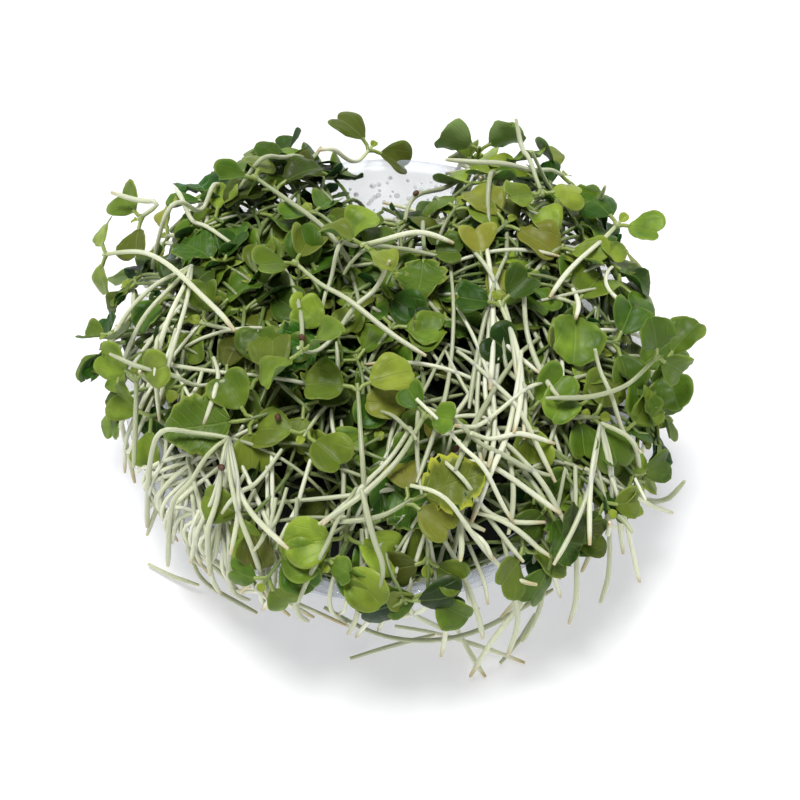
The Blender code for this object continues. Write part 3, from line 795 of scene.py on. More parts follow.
def leaf_shape(name, half, kind, fold, cup, droop, wave, crinkle, seed, columns):
    """A thin closed blade one unit wide, from its base at the origin along +X, top side +Z."""
    across = [-c for c in reversed(columns)] + [0.0] + list(columns)
    rows = len(half)
    tip = half[-1][0]
    thick = 0.034
    points, rim, under, uv = [], [], [], []
    dice = random.Random(seed)
    phase, beat = dice.uniform(0, 6.3), dice.uniform(1.0, 1.7)
    index = {}
    for sheet in (0, 1):
        for i, (u_edge, v_edge) in enumerate(half):
            middle = tip * (i / (rows - 1)) ** 0.92
            for j, s in enumerate(across):
                if i == rows - 1 and j:
                    index[sheet, i, j] = index[sheet, i, 0]
                    continue
                u = middle + (u_edge - middle) * abs(s)
                v = math.copysign(v_edge * abs(s), s) if s else 0.0
                edge = 1.0 if i == rows - 1 else abs(s)
                lag = 1.3 if s < 0 else 0.0
                rise = fold * abs(v) + cup * v * v * 2.2 - droop * u * u
                rise += wave * edge**2 * math.sin(phase + beat * 2 * math.pi * u + lag)
                bumps = noise.noise((u * 5.5 + seed, v * 5.5, seed * 1.7))
                rise += crinkle * bumps * (0.4 + edge)
                depth = thick * (0.4 if edge == 1.0 else 1.0)
                index[sheet, i, j] = len(points)
                points.append((u, v, rise - sheet * depth))
                rim.append(edge)
                under.append(float(sheet))
                uv.append((u / 1.05, v + 0.5))
    faces = []
    for i in range(rows - 1):
        for j in range(len(across) - 1):
            corner = [(i, j), (i + 1, j), (i + 1, j + 1), (i, j + 1)]
            faces.append([index[0, *c] for c in corner])
            faces.append([index[1, *c] for c in reversed(corner)])
        last = len(across) - 1
        faces.append([index[0, i, 0], index[1, i, 0], index[1, i + 1, 0], index[0, i + 1, 0]])
        faces.append([
            index[0, i, last], index[0, i + 1, last], index[1, i + 1, last], index[1, i, last],
        ])
    for j in range(len(across) - 1):
        faces.append([index[0, 0, j], index[0, 0, j + 1], index[1, 0, j + 1], index[1, 0, j]])
    faces = [list(dict.fromkeys(face)) for face in faces]
    obj = new_object(name, points, [f for f in faces if len(f) > 2], scale=1.0, linked=False)
    mesh = obj.data
    give(mesh, "rim", "FLOAT", rim)
    give(mesh, "under", "FLOAT", under)
    give(mesh, "true", "FLOAT", [1.0 if kind == "true" else 0.0] * len(points))
    layer = mesh.uv_layers.new(name="UVMap")
    for loop in mesh.loops:
        layer.data[loop.index].uv = uv[loop.vertex_index]
    return obj


def rounded(half, count):
    """An outline of count points on a smooth curve through those of half."""
    knots = np.array(half)
    ends = np.vstack([2 * knots[0] - knots[1], knots, knots[-2] * [1, -1]])
    fine = []
    for k in range(len(knots) - 1):
        p0, p1, p2, p3 = ends[k : k + 4]
        for t in np.linspace(0, 1, 12, endpoint=False):
            fine.append(0.5 * (
                2 * p1 + (p2 - p0) * t + (2 * p0 - 5 * p1 + 4 * p2 - p3) * t**2
                + (3 * p1 - 3 * p2 + p3 - p0) * t**3
            ))
    fine = np.array(fine + [knots[-1]])
    along = lengths_along(fine)
    spots = np.linspace(0, along[-1], count)
    return [tuple(np.interp(spot, along, fine[:, c]) for c in (0, 1)) for spot in spots]


# The blades of each kind: fold along the middle, cup, droop of the tip, wave of the edge, crinkle
BENDS = {
    "heart": [
        (0.10, 0.25, 0.08, 0.00, 0.03), (0.00, -0.28, 0.28, 0.03, 0.04),
        (0.60, 0.00, 0.15, 0.02, 0.03), (0.15, 0.10, 0.05, 0.06, 0.04),
        (0.05, 0.60, 0.02, 0.02, 0.03), (0.22, -0.10, 0.50, 0.04, 0.03),
    ],
    "round": [
        (0.15, 0.20, 0.14, 0.05, 0.06), (0.45, -0.10, 0.26, 0.05, 0.06),
        (0.00, 0.45, 0.16, 0.05, 0.05),
    ],
    "true": [
        (0.15, 0.10, 0.15, 0.05, 0.16), (0.35, 0.00, 0.28, 0.06, 0.18),
        (0.05, 0.25, 0.05, 0.07, 0.14),
    ],
}
OUTLINES = {"heart": HEART, "round": ROUND, "true": TOOTHED}


class Shapes:
    """A collection of leaf blades to set on points, with the index of each kind's first."""

    def __init__(self, name, fine):
        self.collection = bpy.data.collections.new(name)
        self.first = {}
        count = 0
        for kind, bends in BENDS.items():
            self.first[kind] = count
            half = OUTLINES[kind]
            if kind != "true":
                half = rounded(half, 19 if fine else 14)
            columns = (0.35, 0.7, 1.0) if fine else (0.55, 1.0)
            for bend in bends:
                label = f"{name}_{count:02d}_{kind}"
                blade = leaf_shape(label, half, kind, *bend, count + 3, columns)
                self.collection.objects.link(blade)
                count += 1

    def pick(self, kind, dice):
        """The index of a random blade of this kind."""
        return self.first[kind] + dice.randrange(len(BENDS[kind]))

    def remove(self):
        for obj in list(self.collection.objects):
            mesh = obj.data
            bpy.data.objects.remove(obj)
            bpy.data.meshes.remove(mesh)
        bpy.data.collections.remove(self.collection)


# ------------------------------------------------------------------------------ seedlings


class Greens:
    """Stems and leaves waiting to be made into two pieces."""

    def __init__(self, shapes):
        self.shapes = shapes
        self.stems = []
        self.blades = []

    def stem(self, path, thick, tint, start=0.0, end=1.0, spacing=2.4, taper=0.82):
        """A stem from its head to its cut end. thick is its radius, taper narrows its head, and
        its colour runs from start to end, where 0 is the green head and 1 the tan cut."""
        length = lengths_along(path)[-1]
        count = max(4, round(length / spacing))
        points = along_path(path, np.linspace(0, length, count))
        share = np.linspace(0, 1, count)
        widths = taper + (1.06 - taper) * np.minimum(1.0, share * 1.6)
        tip = 5.0
        if end == 1.0 and length > 8:
            widths *= 1 - 0.4 * np.clip((share - 1 + tip / length) * length / tip, 0, 1) ** 2
        self.stems.append((points, thick * widths, start + (end - start) * share, tint))

    def blade(self, base, forward, normal, kind, width, tint, age, dice, shape=None):
        """A blade from its base; shape is its number among its kind, or None for any."""
        width *= LEAF_SCALE
        forward = unit(forward)
        normal = unit(normal - forward * (normal @ forward))
        side = np.cross(normal, forward)
        turn = Matrix(np.column_stack([forward, side, normal]).tolist()).to_euler("XYZ")
        stretch = dice.uniform(0.93, 1.08)
        size = [width * stretch * MM, width / stretch * MM, width * MM]
        index = self.shapes.pick(kind, dice) if shape is None else self.shapes.first[kind] + shape
        self.blades.append((base, turn, size, index, tint, age))

    def head(self, path, kind, width, dice, tone, age, upward=0.6):
        """The petioles and blades at a path's head, spread as in the model."""
        tangent, normal, _ = head_frame(path, upward)
        look = random.Random(dice.random())
        for forward, face, size, shape, root in blade_frames(path, kind, width, dice, upward):
            base = root + forward * 0.27 * size
            bend = root + forward * 0.12 * size - face * 0.03 * size
            petiole = np.array([path[0] - tangent * 1.6, root, bend, base + forward * 0.4])
            self.stem(petiole, PETIOLE_THICK, 0.6, -0.45, -0.1, 1.2, 1.0)
            shade = min(1.0, max(0.0, tone + look.uniform(-0.34, 0.26)))
            faded = max(0.0, age + look.uniform(-0.1, 0.1))
            self.blade(base, forward, face, shape, size, shade, faded, look)
        if look.random() < 0.5:
            bud = unit(tangent + normal * 0.5)
            self.blade(path[0], bud, normal, "round", look.uniform(1.8, 3.0), 0.9, 0.25, look, 1)

    def make(self, stem_name, leaf_name, spacing=1.3, sides=8):
        """The stems' piece and the leaves' piece, of those that there are."""
        pieces = []
        if self.stems:
            points, edges, thick, along, tint = [], [], [], [], []
            for line, widths, shares, shade in self.stems:
                base = len(points)
                points += list(line)
                edges += [(base + k, base + k + 1) for k in range(len(line) - 1)]
                thick += list(widths)
                along += list(shares)
                tint += [shade] * len(line)
            obj = new_object(stem_name, points, [], edges)
            for name, values in (("thick", thick), ("along", along), ("tint", tint)):
                give(obj.data, name, "FLOAT", values)
            pieces.append(grown(obj, STEM_GROUP, {
                "Sides": sides, "Spacing": spacing * MM, "Material": STEM_SKIN,
            }))
        if self.blades:
            base, turn, size, index, tint, age = zip(*self.blades)
            obj = new_object(leaf_name, base, [])
            give(obj.data, "turn", "FLOAT_VECTOR", [tuple(t) for t in turn])
            give(obj.data, "size", "FLOAT_VECTOR", size)
            give(obj.data, "shape", "INT", index)
            for name, values in (("tint", tint), ("age", age)):
                give(obj.data, name, "FLOAT", values)
            pieces.append(grown(obj, SCATTER_GROUP, {
                "Shapes": self.shapes.collection, "Material": LEAF_BLADE,
            }))
        return pieces


def head_frame(path, upward):
    """Tangent, outward normal and side at the head."""
    start = along_path(path, [0.0, 3.0])
    tangent = unit(start[0] - start[1])
    outward = skin_normal(path[0, 0], path[0, 1]) + np.array([0, 0, upward])
    normal = outward - tangent * (outward @ tangent)
    if np.linalg.norm(normal) < 0.2:
        normal = np.cross(tangent, [1.0, 0.0, 0.0])
    normal = unit(normal)
    return tangent, normal, np.cross(tangent, normal)


def blade_frames(path, kind, width, dice, upward=0.6):
    """Direction, facing, width, kind and root of each blade at a path's head: two seed leaves,
    with a true leaf between them where the kind has one."""
    tangent, normal, side = head_frame(path, upward)
    roll = math.radians(dice.uniform(-28, 28))
    normal, side = (
        normal * math.cos(roll) + side * math.sin(roll),
        side * math.cos(roll) - normal * math.sin(roll),
    )
    root = path[0] - tangent * 0.7
    frames = []
    for turn in (-1, 1, 0.15) if kind == "true" else (-1, 1):
        seed_leaf = kind == "true" and abs(turn) == 1
        shape = "heart" if seed_leaf else kind
        size = 0.72 * width if seed_leaf else width
        spread = math.radians(dice.uniform(62, 80)) * turn
        pitch = math.radians(dice.uniform(-6, 14))
        flat = tangent * math.cos(spread) + side * math.sin(spread)
        forward = flat * math.cos(pitch) + normal * math.sin(pitch)
        face = normal * math.cos(pitch) - flat * math.sin(pitch)
        dice.random()  # each blade takes three draws, which keeps every head as it is
        frames.append((forward, face, size, shape, root))
    return frames


def rooted_path(x, y, kind, width, lift, seed, wander=False):
    """The stem of a head that stands out of the heap, raised until its blades clear the rim."""
    dice = random.Random(seed)
    outward = math.hypot(x, y)
    reach = max(15.0, outward - 41.0)
    inward = math.atan2(-y, -x) + dice.uniform(-0.5, 0.5) * (1.0 if outward > 20 else 6.0)
    if outward > 46:
        inward = math.atan2(-y, -x) + dice.uniform(-0.15, 0.15)
    elif wander:
        inward += dice.uniform(-1.9, 1.9)
    tail = (x + reach * math.cos(inward), y + reach * math.sin(inward))
    root = float(surface(*tail)) - ROOT_DEPTH
    path = over_rim(route((x, y), tail, dice.uniform(-2, 2), lift - 2.5, -0.5, root))
    for _ in range(8):
        short = 0.0
        for forward, face, size, _, start in blade_frames(path, kind, width, random.Random(seed)):
            side = np.cross(face, forward)
            for u, v in ((0.3, 0), (0.6, 0.4), (0.6, -0.4), (0.9, 0.45), (0.9, -0.45), (1.1, 0)):
                point = start + size * (forward * u + side * v)
                if RIM_INSIDE < math.hypot(point[0], point[1]) < RIM_OUTSIDE:
                    short = max(short, TRAY_HEIGHT + 0.8 - point[2])
        if short <= 0:
            break
        path[0, 2] += short + 0.1
        path = arch(path)
    return path


def tone_at(x, y, dice):
    """How light a head's leaves are painted, partly their own tone and partly painted light and
    shade: light and dark patches of the heap, and some chance.
    """
    return 0.5 + 0.45 * noise.noise((x / 14.0, y / 14.0, 8.0)) + dice.uniform(-0.25, 0.3)


def leafiness(x, y):
    """Share of heads to stems over the heap: none in the hollow, and few at the left, right of
    the middle and where stems hang over the front of the rim."""
    radius, turn = math.hypot(x, y), math.degrees(math.atan2(y, x))
    if abs(x - 3) < 15 and y > 26:
        return 0.0
    if 36 < x < 54 and 6 < y < 20:
        return 0.4
    if -40 < x < -12 and -52 < y < -28:
        return 0.12
    if radius > 40 and -157 < turn < -107:
        return 0.12
    if radius > 42 and -107 < turn < -60:
        return 0.3
    if radius > 40 and -62 < turn < -28:
        return 0.3
    if x < -42 and 8 < y < 30:
        return 0.5
    if x < -36 and -25 < y < 8:
        return 0.4
    if ((x - 19) / 13) ** 2 + ((y + 20) / 25) ** 2 < 1:
        return 0.3
    return 1.0


def settled(path, pile, clear):
    """The path laid on the pile, half sunk into it unless it lies clear."""
    need = pile.top(path, 0.8) + 0.4 if clear else pile.top(path, 0.4) - 0.5
    resting = path.copy()
    resting[:, 2] = np.maximum(path[:, 2], need)
    return arch(resting)


def make_heap(shapes):
    """The heads that stand out of the heap."""
    greens = Greens(shapes)
    for k, (x, y, kind, width, lift) in enumerate(ROOTED):
        seed = SEED * 100 + k
        path = smooth(rooted_path(x, y, kind, width, lift, seed), 20)
        look = random.Random(seed + 5)
        greens.stem(path, STEM_THICK * look.uniform(0.85, 1.08), look.random())
        old = 0.6 if look.random() < 0.12 else look.uniform(0.0, 0.22)
        greens.head(path, kind, width, random.Random(seed), tone_at(x, y, look), old)
    return greens.make("heap_stems", "heap_leaves")


def make_fill(shapes):
    """Smaller heads between and under the ones on top."""
    greens = Greens(shapes)
    dice = random.Random(UNDER_SEED)
    kinds = ("heart", "heart", "heart", "round", "round", "true")
    for k in range(UNDER_HEADS):
        seed = UNDER_SEED * 1000 + k
        radius, x, y = random_spot(57.0, dice)
        if dice.random() > leafiness(x, y):
            continue
        depth = dice.uniform(0.0, 8.0) if radius < 45 else dice.uniform(-1.0, 4.0)
        kind = dice.choice(kinds[:5] if radius > 38 else kinds)
        width = dice.uniform(6.0, 9.5) * (1.15 if kind == "true" else 1.0)
        path = rooted_path(x, y, kind, width, 2.0 - depth, seed, wander=True)
        thick = STEM_THICK * dice.uniform(0.75, 1.0)
        # the stems under these heads get a low tint: painted shade
        greens.stem(smooth(path), thick, dice.uniform(0, 0.3), -0.1, 0.5)
        # heads lower in the heap get darker leaves: painted shade
        tone = tone_at(x, y, dice) - 0.12 * max(0.0, depth - 0.5)
        greens.head(
            path, kind, width, random.Random(seed), tone, dice.uniform(0, 0.2),
            upward=dice.uniform(0.6, 2.0),
        )
    return greens.make("under_stems", "under_leaves", 1.8, 6)


def in_hollow(x, y):
    """Whether a place lies in the gap at the back, where no stray stem runs."""
    return abs(x - 3) < 17 and y > 20


def make_strays(shapes):
    """Bare stems just under the heap's skin, and the bedding on the hollow's floor."""
    greens = Greens(shapes)
    dice = random.Random(STRAY_SEED)
    made = 0
    while made < STRAYS:
        _, x, y = random_spot(50.0, dice)
        if dice.random() < leafiness(x, y) - 0.25 or in_hollow(x, y):
            continue
        heading, length = dice.uniform(0, math.pi), dice.uniform(16, 36)
        tail = (x + length * math.cos(heading), y + length * math.sin(heading))
        if math.hypot(*tail) > 54 or in_hollow(*tail):
            continue
        depth = dice.uniform(0.0, 6.0)
        path = route((x, y), tail, dice.uniform(-4, 4), -depth - 2, -depth + 1.5, 0)
        path[:, 2] -= 0.6 * np.linspace(-1, 1, SAMPLES) ** 2 * dice.uniform(0, 6)
        path = smooth(over_rim(path), 8)
        thick = STEM_THICK * dice.uniform(0.7, 1.0)
        # the tint falls with depth: painted shade on the deeper stems
        greens.stem(path, thick, dice.uniform(0.2, 0.9) - 0.12 * depth, 0.1)
        made += 1
    for _ in range(BEDDING):
        x, y = HOLLOW_X + dice.uniform(-15, 17), HOLLOW_Y - dice.uniform(4, 20)
        heading, length = dice.uniform(0, math.pi), dice.uniform(7, 16)
        t = np.linspace(-0.5, 0.5, 12)
        plan = np.column_stack([
            x + length * t * math.cos(heading), y + length * t * math.sin(heading),
        ])
        inside, lowest = 43.5, 6.5
        plan /= np.maximum(1.0, np.hypot(plan[:, 0], plan[:, 1]) / inside)[:, None]
        level = surface(plan[:, 0], plan[:, 1]) - dice.uniform(7.5, 11.0)
        path = smooth(arch(np.column_stack([plan, np.maximum(level, lowest)])), 3)
        greens.stem(path, STEM_THICK * dice.uniform(0.8, 1.05), dice.uniform(0.3, 1.0), 0.3)
    return greens.make("stray_stems", "stray_leaves", 1.8, 6)


def make_wall_greens(shapes):
    """Stems and leaves pressed against the inside of the tray's wall, seen through it."""
    greens = Greens(shapes)
    dice = random.Random(WALL_SEED)
    lean = 0.38
    for _ in range(WALL_STEMS):
        start, sweep = dice.uniform(0, 2 * math.pi), dice.uniform(0.35, 0.8) * dice.choice((-1, 1))
        low, high = sorted((dice.uniform(2.5, 27), dice.uniform(2.5, 27)))
        if dice.random() < 0.5:
            low, high = high, low
        t = np.linspace(0, 1, 14)
        height = low + (high - low) * t + 2.0 * np.sin(t * math.pi)
        height = np.clip(height, 2.2, 28.0)
        radius = inner_radius(height) - 1.5 - dice.uniform(0, 2.0)
        turn = start + sweep * t
        path = np.column_stack([radius * np.cos(turn), radius * np.sin(turn), height])
        greens.stem(path, STEM_THICK * dice.uniform(0.85, 1.1), dice.random())
    for _ in range(WALL_LEAVES):
        turn, height = dice.uniform(0, 2 * math.pi), dice.uniform(4.0, 25.0)
        radius = inner_radius(height) - 2.2 - dice.uniform(0, 1.5)
        out = np.array(polar(1.0, turn, -lean))
        aim = np.array([-math.sin(turn), math.cos(turn), 0]) * dice.uniform(-1, 1)
        aim = unit(aim + dice.uniform(-1, 1) * np.array(polar(lean, turn, 1.0)))
        base = np.array(polar(radius, turn, height))
        kind = dice.choice(("heart", "round"))
        width = dice.uniform(4.5, 6.5)
        base = base - aim * 0.45 * width
        base[2] = min(max(base[2], 3.5), 26.0)
        tone, age = dice.uniform(0.2, 0.9), dice.uniform(0, 0.2)
        greens.blade(base, aim, unit(out), kind, width, tone, age, dice, 0)
    return greens.make("wall_stems", "wall_leaves", 2.2, 6)


def make_bunches(shapes):
    """The bunches as single stems, each piece in the place of its solid."""
    pieces = []
    for name, (knot, tails) in BUNCHES.items():
        greens = Greens(shapes)
        tree = node_tree([name])
        look = random.Random(name)
        x, y, lift = knot
        for tail_x, tail_y, end, bow in tails:
            guide = route((x, y), (tail_x, tail_y), bow, lift, 1.0, end)
            path = smooth(follow(guide[:, :2], tree, guide[0, 2]), 30)
            greens.stem(path, STEM_THICK * look.uniform(0.95, 1.12), look.uniform(0.6, 1.0), 0.15)
        piece, = greens.make(name + "_fine", "")
        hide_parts(name)
        pieces.append(piece)
    return pieces


def make_sprigs(shapes):
    """The sprigs on top, each stem along the middle of its solid."""
    greens = Greens(shapes)
    for number, row in enumerate(SPRIGS, 1):
        x, y, tail_x, tail_y, end, bow, lift, middle, kind, width = row
        guide = route((x, y), (tail_x, tail_y), bow, lift, middle, end)
        tree = node_tree([f"sprig_{number:02d}_stem"])
        along = lengths_along(guide)
        stem = follow(guide[along > 3.6][:, :2], tree, guide[0, 2])
        ahead = unit(stem[0] - stem[5])
        gap = np.linalg.norm(stem[0][:2] - guide[0][:2]) / max(0.5, np.linalg.norm(ahead[:2]))
        ends = np.linspace(gap, 0.6, 5)[:, None] * ahead + stem[0]
        path = np.vstack([ends, stem])
        path = along_path(path, np.linspace(0, lengths_along(path)[-1], SAMPLES))
        path = smooth(path, 12)[: round(KEPT.get(number, 1.0) * SAMPLES)]
        look = random.Random(SEED * 300 + number)
        greens.stem(path, STEM_THICK * look.uniform(0.98, 1.15), look.uniform(0.3, 1.0))
        tone = tone_at(x, y, look) + 0.08
        old = 0.45 if kind == "true" else look.uniform(0, 0.3)
        greens.head(path, kind, width, random.Random(SEED * 200 + number), tone, old)
    return greens.make("sprig_stems", "sprig_leaves")


def make_loose(shapes, pile):
    """The loose stems, each laid on what is there already."""
    greens = Greens(shapes)
    for k, (x, y, tail_x, tail_y, end, bow, lift, middle, *leaves) in enumerate(LOOSE):
        kind, width = (*leaves, 0)[:2] if leaves else ("bare", 0)
        look = random.Random(SEED * 500 + k)
        path = route((x, y), (tail_x, tail_y), bow, 0.5 * lift, 0.4 * middle, end)
        path = settled(path, pile, kind == "top")
        pile.stamp(path, 0.7, STEM_THICK)
        bare = kind in ("bare", "top")
        path = smooth(path, 40)
        greens.stem(
            path, STEM_THICK * look.uniform(0.85, 1.12), look.uniform(0.35, 1.0),
            0.25 if bare else 0.0,
        )
        if not bare:
            greens.head(path, kind, width, look, tone_at(x, y, look), 0.1)
    return greens.make("loose_stems", "loose_leaves")


def make_hanging(shapes):
    """The stems of which every bend is given."""
    greens = Greens(shapes)
    for k, points in enumerate(HANGING):
        look = random.Random(SEED * 700 + k)
        line = np.array(points, float)
        t = np.linspace(0, len(line) - 1, 24)
        path = np.column_stack([np.interp(t, range(len(line)), line[:, c]) for c in range(3)])
        path = smooth(path, 14)
        greens.stem(path, STEM_THICK * look.uniform(0.9, 1.12), look.uniform(0.5, 1.0), 0.3)
    return greens.make("hanging_stems", "hanging_leaves")


def make_curtains(shapes):
    """Stems that come over the rim side by side and hang down outside it."""
    greens = Greens(shapes)
    dice = random.Random(CURTAIN_SEED)
    below_rim = 27.5
    for first, last, count, knot, hug in CURTAINS:
        for k in range(count):
            turn = math.radians(first + (last - first) * (k + dice.uniform(0.1, 0.9)) / count)
            reach = dice.uniform(53.5, 57.5)
            drift = turn + dice.gauss(0, 0.13)
            low = dice.choice((dice.uniform(4, 12), dice.uniform(11, 25), dice.uniform(15, 27)))
            end = polar(reach - hug * (below_rim - low), drift)
            start = np.array([knot[0] + dice.gauss(0, 5), knot[1] + dice.gauss(0, 5)])
            edge = RIM_RADIUS * np.array(polar(1.0, turn))
            inward = start + (edge - start) * np.linspace(0, 1, 16)[:, None]
            rise = surface(inward[:, 0], inward[:, 1]) - dice.uniform(-1.0, 3.0)
            top = np.column_stack([inward, np.maximum(rise, OVER_RIM + 0.4)])
            down = np.column_stack([np.vstack([edge * 1.03, end]), [below_rim, low]])
            line = np.vstack([top, down])
            path = smooth(along_path(line, np.linspace(0, lengths_along(line)[-1], 30)), 5)
            thick = STEM_THICK * dice.uniform(0.75, 1.1)
            greens.stem(path, thick, dice.uniform(0.65, 1.0), 0.35)
    return greens.make("curtain_stems", "curtain_leaves", 1.5, 8)


# ------------------------------------------------------------------------------ tray and drops


def lathe(profile, sides):
    """Turns a profile of (radius, height, share of the flutes) round the Z axis."""
    points, faces, rings = [], [], []
    for radius, height, share in profile:
        if radius == 0:
            rings.append([len(points)] * sides)
            points.append((0.0, 0.0, height))
            continue
        rings.append(list(range(len(points), len(points) + sides)))
        for k in range(sides):
            turn = 2 * math.pi * k / sides
            rib = 1 - 2 * abs(math.sin(turn * FLUTES / 2)) ** 0.7
            points.append(polar(radius + share * FLUTE_DEPTH * rib, turn, height))
    for lower, upper in zip(rings, rings[1:]):
        for k in range(sides):
            face = (lower[k], lower[(k + 1) % sides], upper[(k + 1) % sides], upper[k])
            faces.append(tuple(dict.fromkeys(face)))
    return points, faces


def make_tray(material):
    """A thin dish with a flat foot, a fluted wall and an out-turned rim."""
    top, steps = TRAY_HEIGHT, 12
    outside, inside = [], []
    for k in range(steps + 1):
        share = k / steps
        fluted = math.sin(share * math.pi) ** 0.5 if 0 < k < steps else 0.0
        height = 2.4 + share * (top - 4.6)
        radius = BASE_RADIUS + 0.3 + share * (WALL_TOP_RADIUS - BASE_RADIUS - 0.5)
        outside.append((radius, height, fluted))
        inside.append((radius - WALL, height + 0.2, fluted))
    profile = [(0.0, 0.5, 0.0), (34.0, 0.5, 0.0), (35.0, 0.1, 0.0), (36.0, 0.0, 0.0)]
    profile += [(FOOT_RADIUS, 0.0, 0.0), (39.3, 0.4, 0.0), (BASE_RADIUS, 1.4, 0.0)]
    profile += outside
    profile += [
        (WALL_TOP_RADIUS, top - 1.4, 0.0), (52.2, top - 1.45, 0.0), (52.8, top - 1.3, 0.0),
        (RIM_RADIUS, top - 0.8, 0.0), (52.85, top - 0.25, 0.0), (52.4, top, 0.0),
        (50.6, top, 0.0), (49.95, top - 0.15, 0.0), (WALL_TOP_RADIUS - WALL, top - 0.7, 0.0),
    ]
    profile += reversed(inside)
    profile += [(38.4, 1.5, 0.0), (37.2, WALL + 0.1, 0.0), (36.0, WALL, 0.0), (0.0, WALL, 0.0)]
    points, faces = lathe(profile, 8 * FLUTES)
    tray = new_object("fluted_tray", points, faces)
    tray.data.shade_smooth()
    tray.data.set_sharp_from_angle(angle=math.radians(50))
    tray.data.materials.append(material)
    return tray


def round_shape(name, rings, segments, squash):
    """A closed round body one unit across, flatter along Z by squash."""
    points, faces = [(0.0, 0.0, -0.5 * squash)], []
    for i in range(1, rings):
        lift = math.pi * (i / rings - 0.5)
        for k in range(segments):
            turn = 2 * math.pi * k / segments
            points.append(polar(0.5 * math.cos(lift), turn, 0.5 * squash * math.sin(lift)))
    points.append((0.0, 0.0, 0.5 * squash))
    top = len(points) - 1
    for k in range(segments):
        following = (k + 1) % segments
        faces.append((0, 1 + following, 1 + k))
        for i in range(rings - 2):
            a, b = 1 + i * segments, 1 + (i + 1) * segments
            faces.append((a + k, a + following, b + following, b + k))
        last = 1 + (rings - 2) * segments
        faces.append((last + k, last + following, top))
    return new_object(name, points, faces, scale=1.0, linked=False)


def scatter(name, spots, shape, material):
    """Sets one shape on each (place, normal, size)."""
    shapes = bpy.data.collections.new(name + "_shape")
    shapes.objects.link(shape)
    obj = new_object(name, [place for place, _, _ in spots], [])
    turns = [tuple(Vector(normal).to_track_quat("Z", "Y").to_euler()) for _, normal, _ in spots]
    give(obj.data, "turn", "FLOAT_VECTOR", turns)
    give(obj.data, "size", "FLOAT_VECTOR", [tuple(MM * s for s in size) for _, _, size in spots])
    give(obj.data, "shape", "INT", [0] * len(spots))
    grown(obj, SCATTER_GROUP, {"Shapes": shapes, "Material": material})
    mesh = shape.data
    bpy.data.objects.remove(shape)
    bpy.data.meshes.remove(mesh)
    bpy.data.collections.remove(shapes)
    return obj


def make_drops(material):
    """Water beads on the wall's inside: most where the hollow bares it, the rest all round."""
    dice = random.Random(DROP_SEED)
    spots = []
    for k in range(DROPS):
        at_hollow = k < DROPS_AT_HOLLOW
        turn = dice.gauss(math.radians(88), 0.28) if at_hollow else dice.uniform(0, 2 * math.pi)
        height = dice.uniform(8.0, 28.0)
        place = polar(inner_radius(height) - 0.05, turn, height)
        normal = polar(-1.0, turn, 0.35)
        size = dice.uniform(0.5, 1.5)
        spots.append((place, normal, (size, size, size)))
    return scatter("water_drops", spots, round_shape("bead", 5, 8, 0.6), material)


def make_husks(material, pile):
    """Seed husks lying on top."""
    dice = random.Random(HUSK_SEED)
    spots = []
    for _ in range(HUSKS):
        _, x, y = random_spot(46.0, dice)
        place = np.array([[x, y, 0.0]])
        place[0, 2] = pile.top(place, 0.4)[0] + 0.4
        normal = (dice.uniform(-1, 1), dice.uniform(-1, 1), dice.uniform(0.1, 0.6))
        size = dice.uniform(1.1, 1.6)
        spots.append((tuple(place[0]), normal, (size, size * 0.9, size * 1.25)))
    return scatter("seed_husks", spots, round_shape("husk", 6, 9, 1.0), material)


def make_core(material):
    """The shaded tangle deep inside the heap: its lumpy top, then rings down inside the wall."""
    segments = CORE_SEGMENTS
    levels = [(share, None) for share in np.linspace(0.05, 1.0, CORE_RINGS)]
    levels += [(1.0, share) for share in (0.88, 0.58, 0.29, 0.06)]
    points, faces = [], []
    for reach, drop in levels:
        for k in range(segments):
            turn = 2 * math.pi * k / segments
            edge = float(surface(*polar(CORE_RADIUS, turn))) - CORE_DEPTH
            edge = max(edge, CORE_LOWEST)
            if drop is None:
                radius = reach * min(CORE_RADIUS, inner_radius(edge) - CORE_GAP)
                x, y = polar(radius, turn)
                lump = noise.noise((x / 7, y / 7, 3.0))
                z = max(float(surface(x, y)) - CORE_DEPTH + 2.2 * lump, CORE_LOWEST)
                z = min(z, edge + 22.0 * (1.0 - reach))
            else:
                z = max(edge * drop, WALL + 0.6)
                x, y = polar(inner_radius(z) - CORE_GAP, turn)
            points.append((x, y, z))
    for ring in range(len(levels) - 1):
        for k in range(segments):
            a, b = ring * segments + k, ring * segments + (k + 1) % segments
            faces.append((a, a + segments, b + segments, b))
    faces.append(tuple(range(segments)))
    last = (len(levels) - 1) * segments
    faces.append(tuple(range(last + segments - 1, last - 1, -1)))
    core = new_object("inner_tangle", points, faces)
    core.data.shade_smooth()
    core.data.materials.append(material)
    return core


# ------------------------------------------------------------------------------ stage


# The floor and the wall that it curves up into: (radius, height, share of the flutes)
BACKDROP = [
    (0.0, 0.0, 0.0), (1000.0, 0.0, 0.0), (1250.0, 35.0, 0.0), (1420.0, 140.0, 0.0),
    (1500.0, 320.0, 0.0), (1520.0, 900.0, 0.0),
]


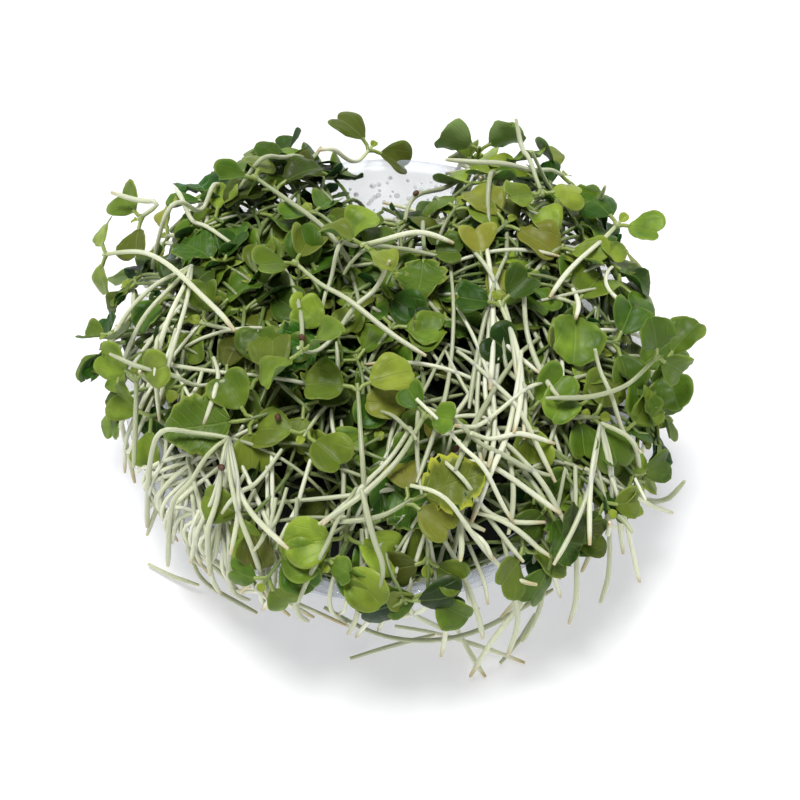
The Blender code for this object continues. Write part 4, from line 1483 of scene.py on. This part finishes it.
def add_stage():
    """Floor, soft light and the camera at the photograph's angle."""
    scene = bpy.context.scene
    scene.view_settings.view_transform = "Standard"
    points, faces = lathe(BACKDROP, 96)
    floor = new_object("floor", points, [face[::-1] for face in faces])
    floor.data.shade_smooth()
    floor.data.materials.append(floor_look())
    world = bpy.data.worlds.new("soft_studio")
    world.use_nodes = True
    sky = world.node_tree.nodes["Background"].inputs
    sky["Color"].default_value = (1.0, 1.0, 1.0, 1.0)
    sky["Strength"].default_value = SOFT_LIGHT
    scene.world = world
    sun = bpy.data.lights.new("key", "SUN")
    sun.energy = SUN_POWER
    sun.angle = math.radians(SUN_WIDTH)
    key = bpy.data.objects.new("key", sun)
    key.rotation_euler = Vector(SUN_FROM).to_track_quat("Z", "Y").to_euler()
    scene.collection.objects.link(key)
    target = Vector(LOOK_AT) * MM
    distance, rise = DISTANCE * MM, math.radians(VIEW_RISE)
    camera = bpy.data.cameras.new("camera")
    camera.lens = LENS
    camera.sensor_width = SENSOR
    eye = bpy.data.objects.new("camera", camera)
    eye.location = target + distance * Vector((0.0, -math.cos(rise), math.sin(rise)))
    eye.rotation_euler = (math.pi / 2 - rise, 0.0, 0.0)
    scene.collection.objects.link(eye)
    scene.camera = eye


add_stage()
STEM_SKIN, LEAF_BLADE = stem_look(), leaf_look()
STEM_GROUP, SCATTER_GROUP = stem_group(), scatter_group()
fine_shapes, plain_shapes = Shapes("blade", True), Shapes("small_blade", False)
pile = Pile(node_tree(list(frame["nodes"])))

tray = make_tray(tray_look())
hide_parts("tray")
heap_stems, heap_leaves = make_heap(fine_shapes)
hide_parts("greens_heap")
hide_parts("greens_heap")
core = make_core(core_look())
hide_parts("greens_heap")
under_stems, under_leaves = make_fill(plain_shapes)
stray_stems, = make_strays(plain_shapes)
wall_stems, wall_leaves = make_wall_greens(plain_shapes)
bunches = make_bunches(fine_shapes)
sprig_stems, sprig_leaves = make_sprigs(fine_shapes)
for number in range(1, len(SPRIGS) + 1):
    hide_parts(f"sprig_{number:02d}_stem")
    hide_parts(f"sprig_{number:02d}_leaves")
loose_stems, loose_leaves = make_loose(fine_shapes, pile)
hanging_stems, = make_hanging(fine_shapes)
curtain_stems, = make_curtains(fine_shapes)
drops = make_drops(water_look())
husks = make_husks(husk_look(), pile)
fine_shapes.remove()
plain_shapes.remove()

for piece in (tray, drops, heap_stems, heap_leaves, core, under_stems, under_leaves, stray_stems,
              wall_stems, wall_leaves, sprig_stems, sprig_leaves, loose_stems, loose_leaves,
              hanging_stems, curtain_stems, husks, *bunches):
    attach(piece, "root")
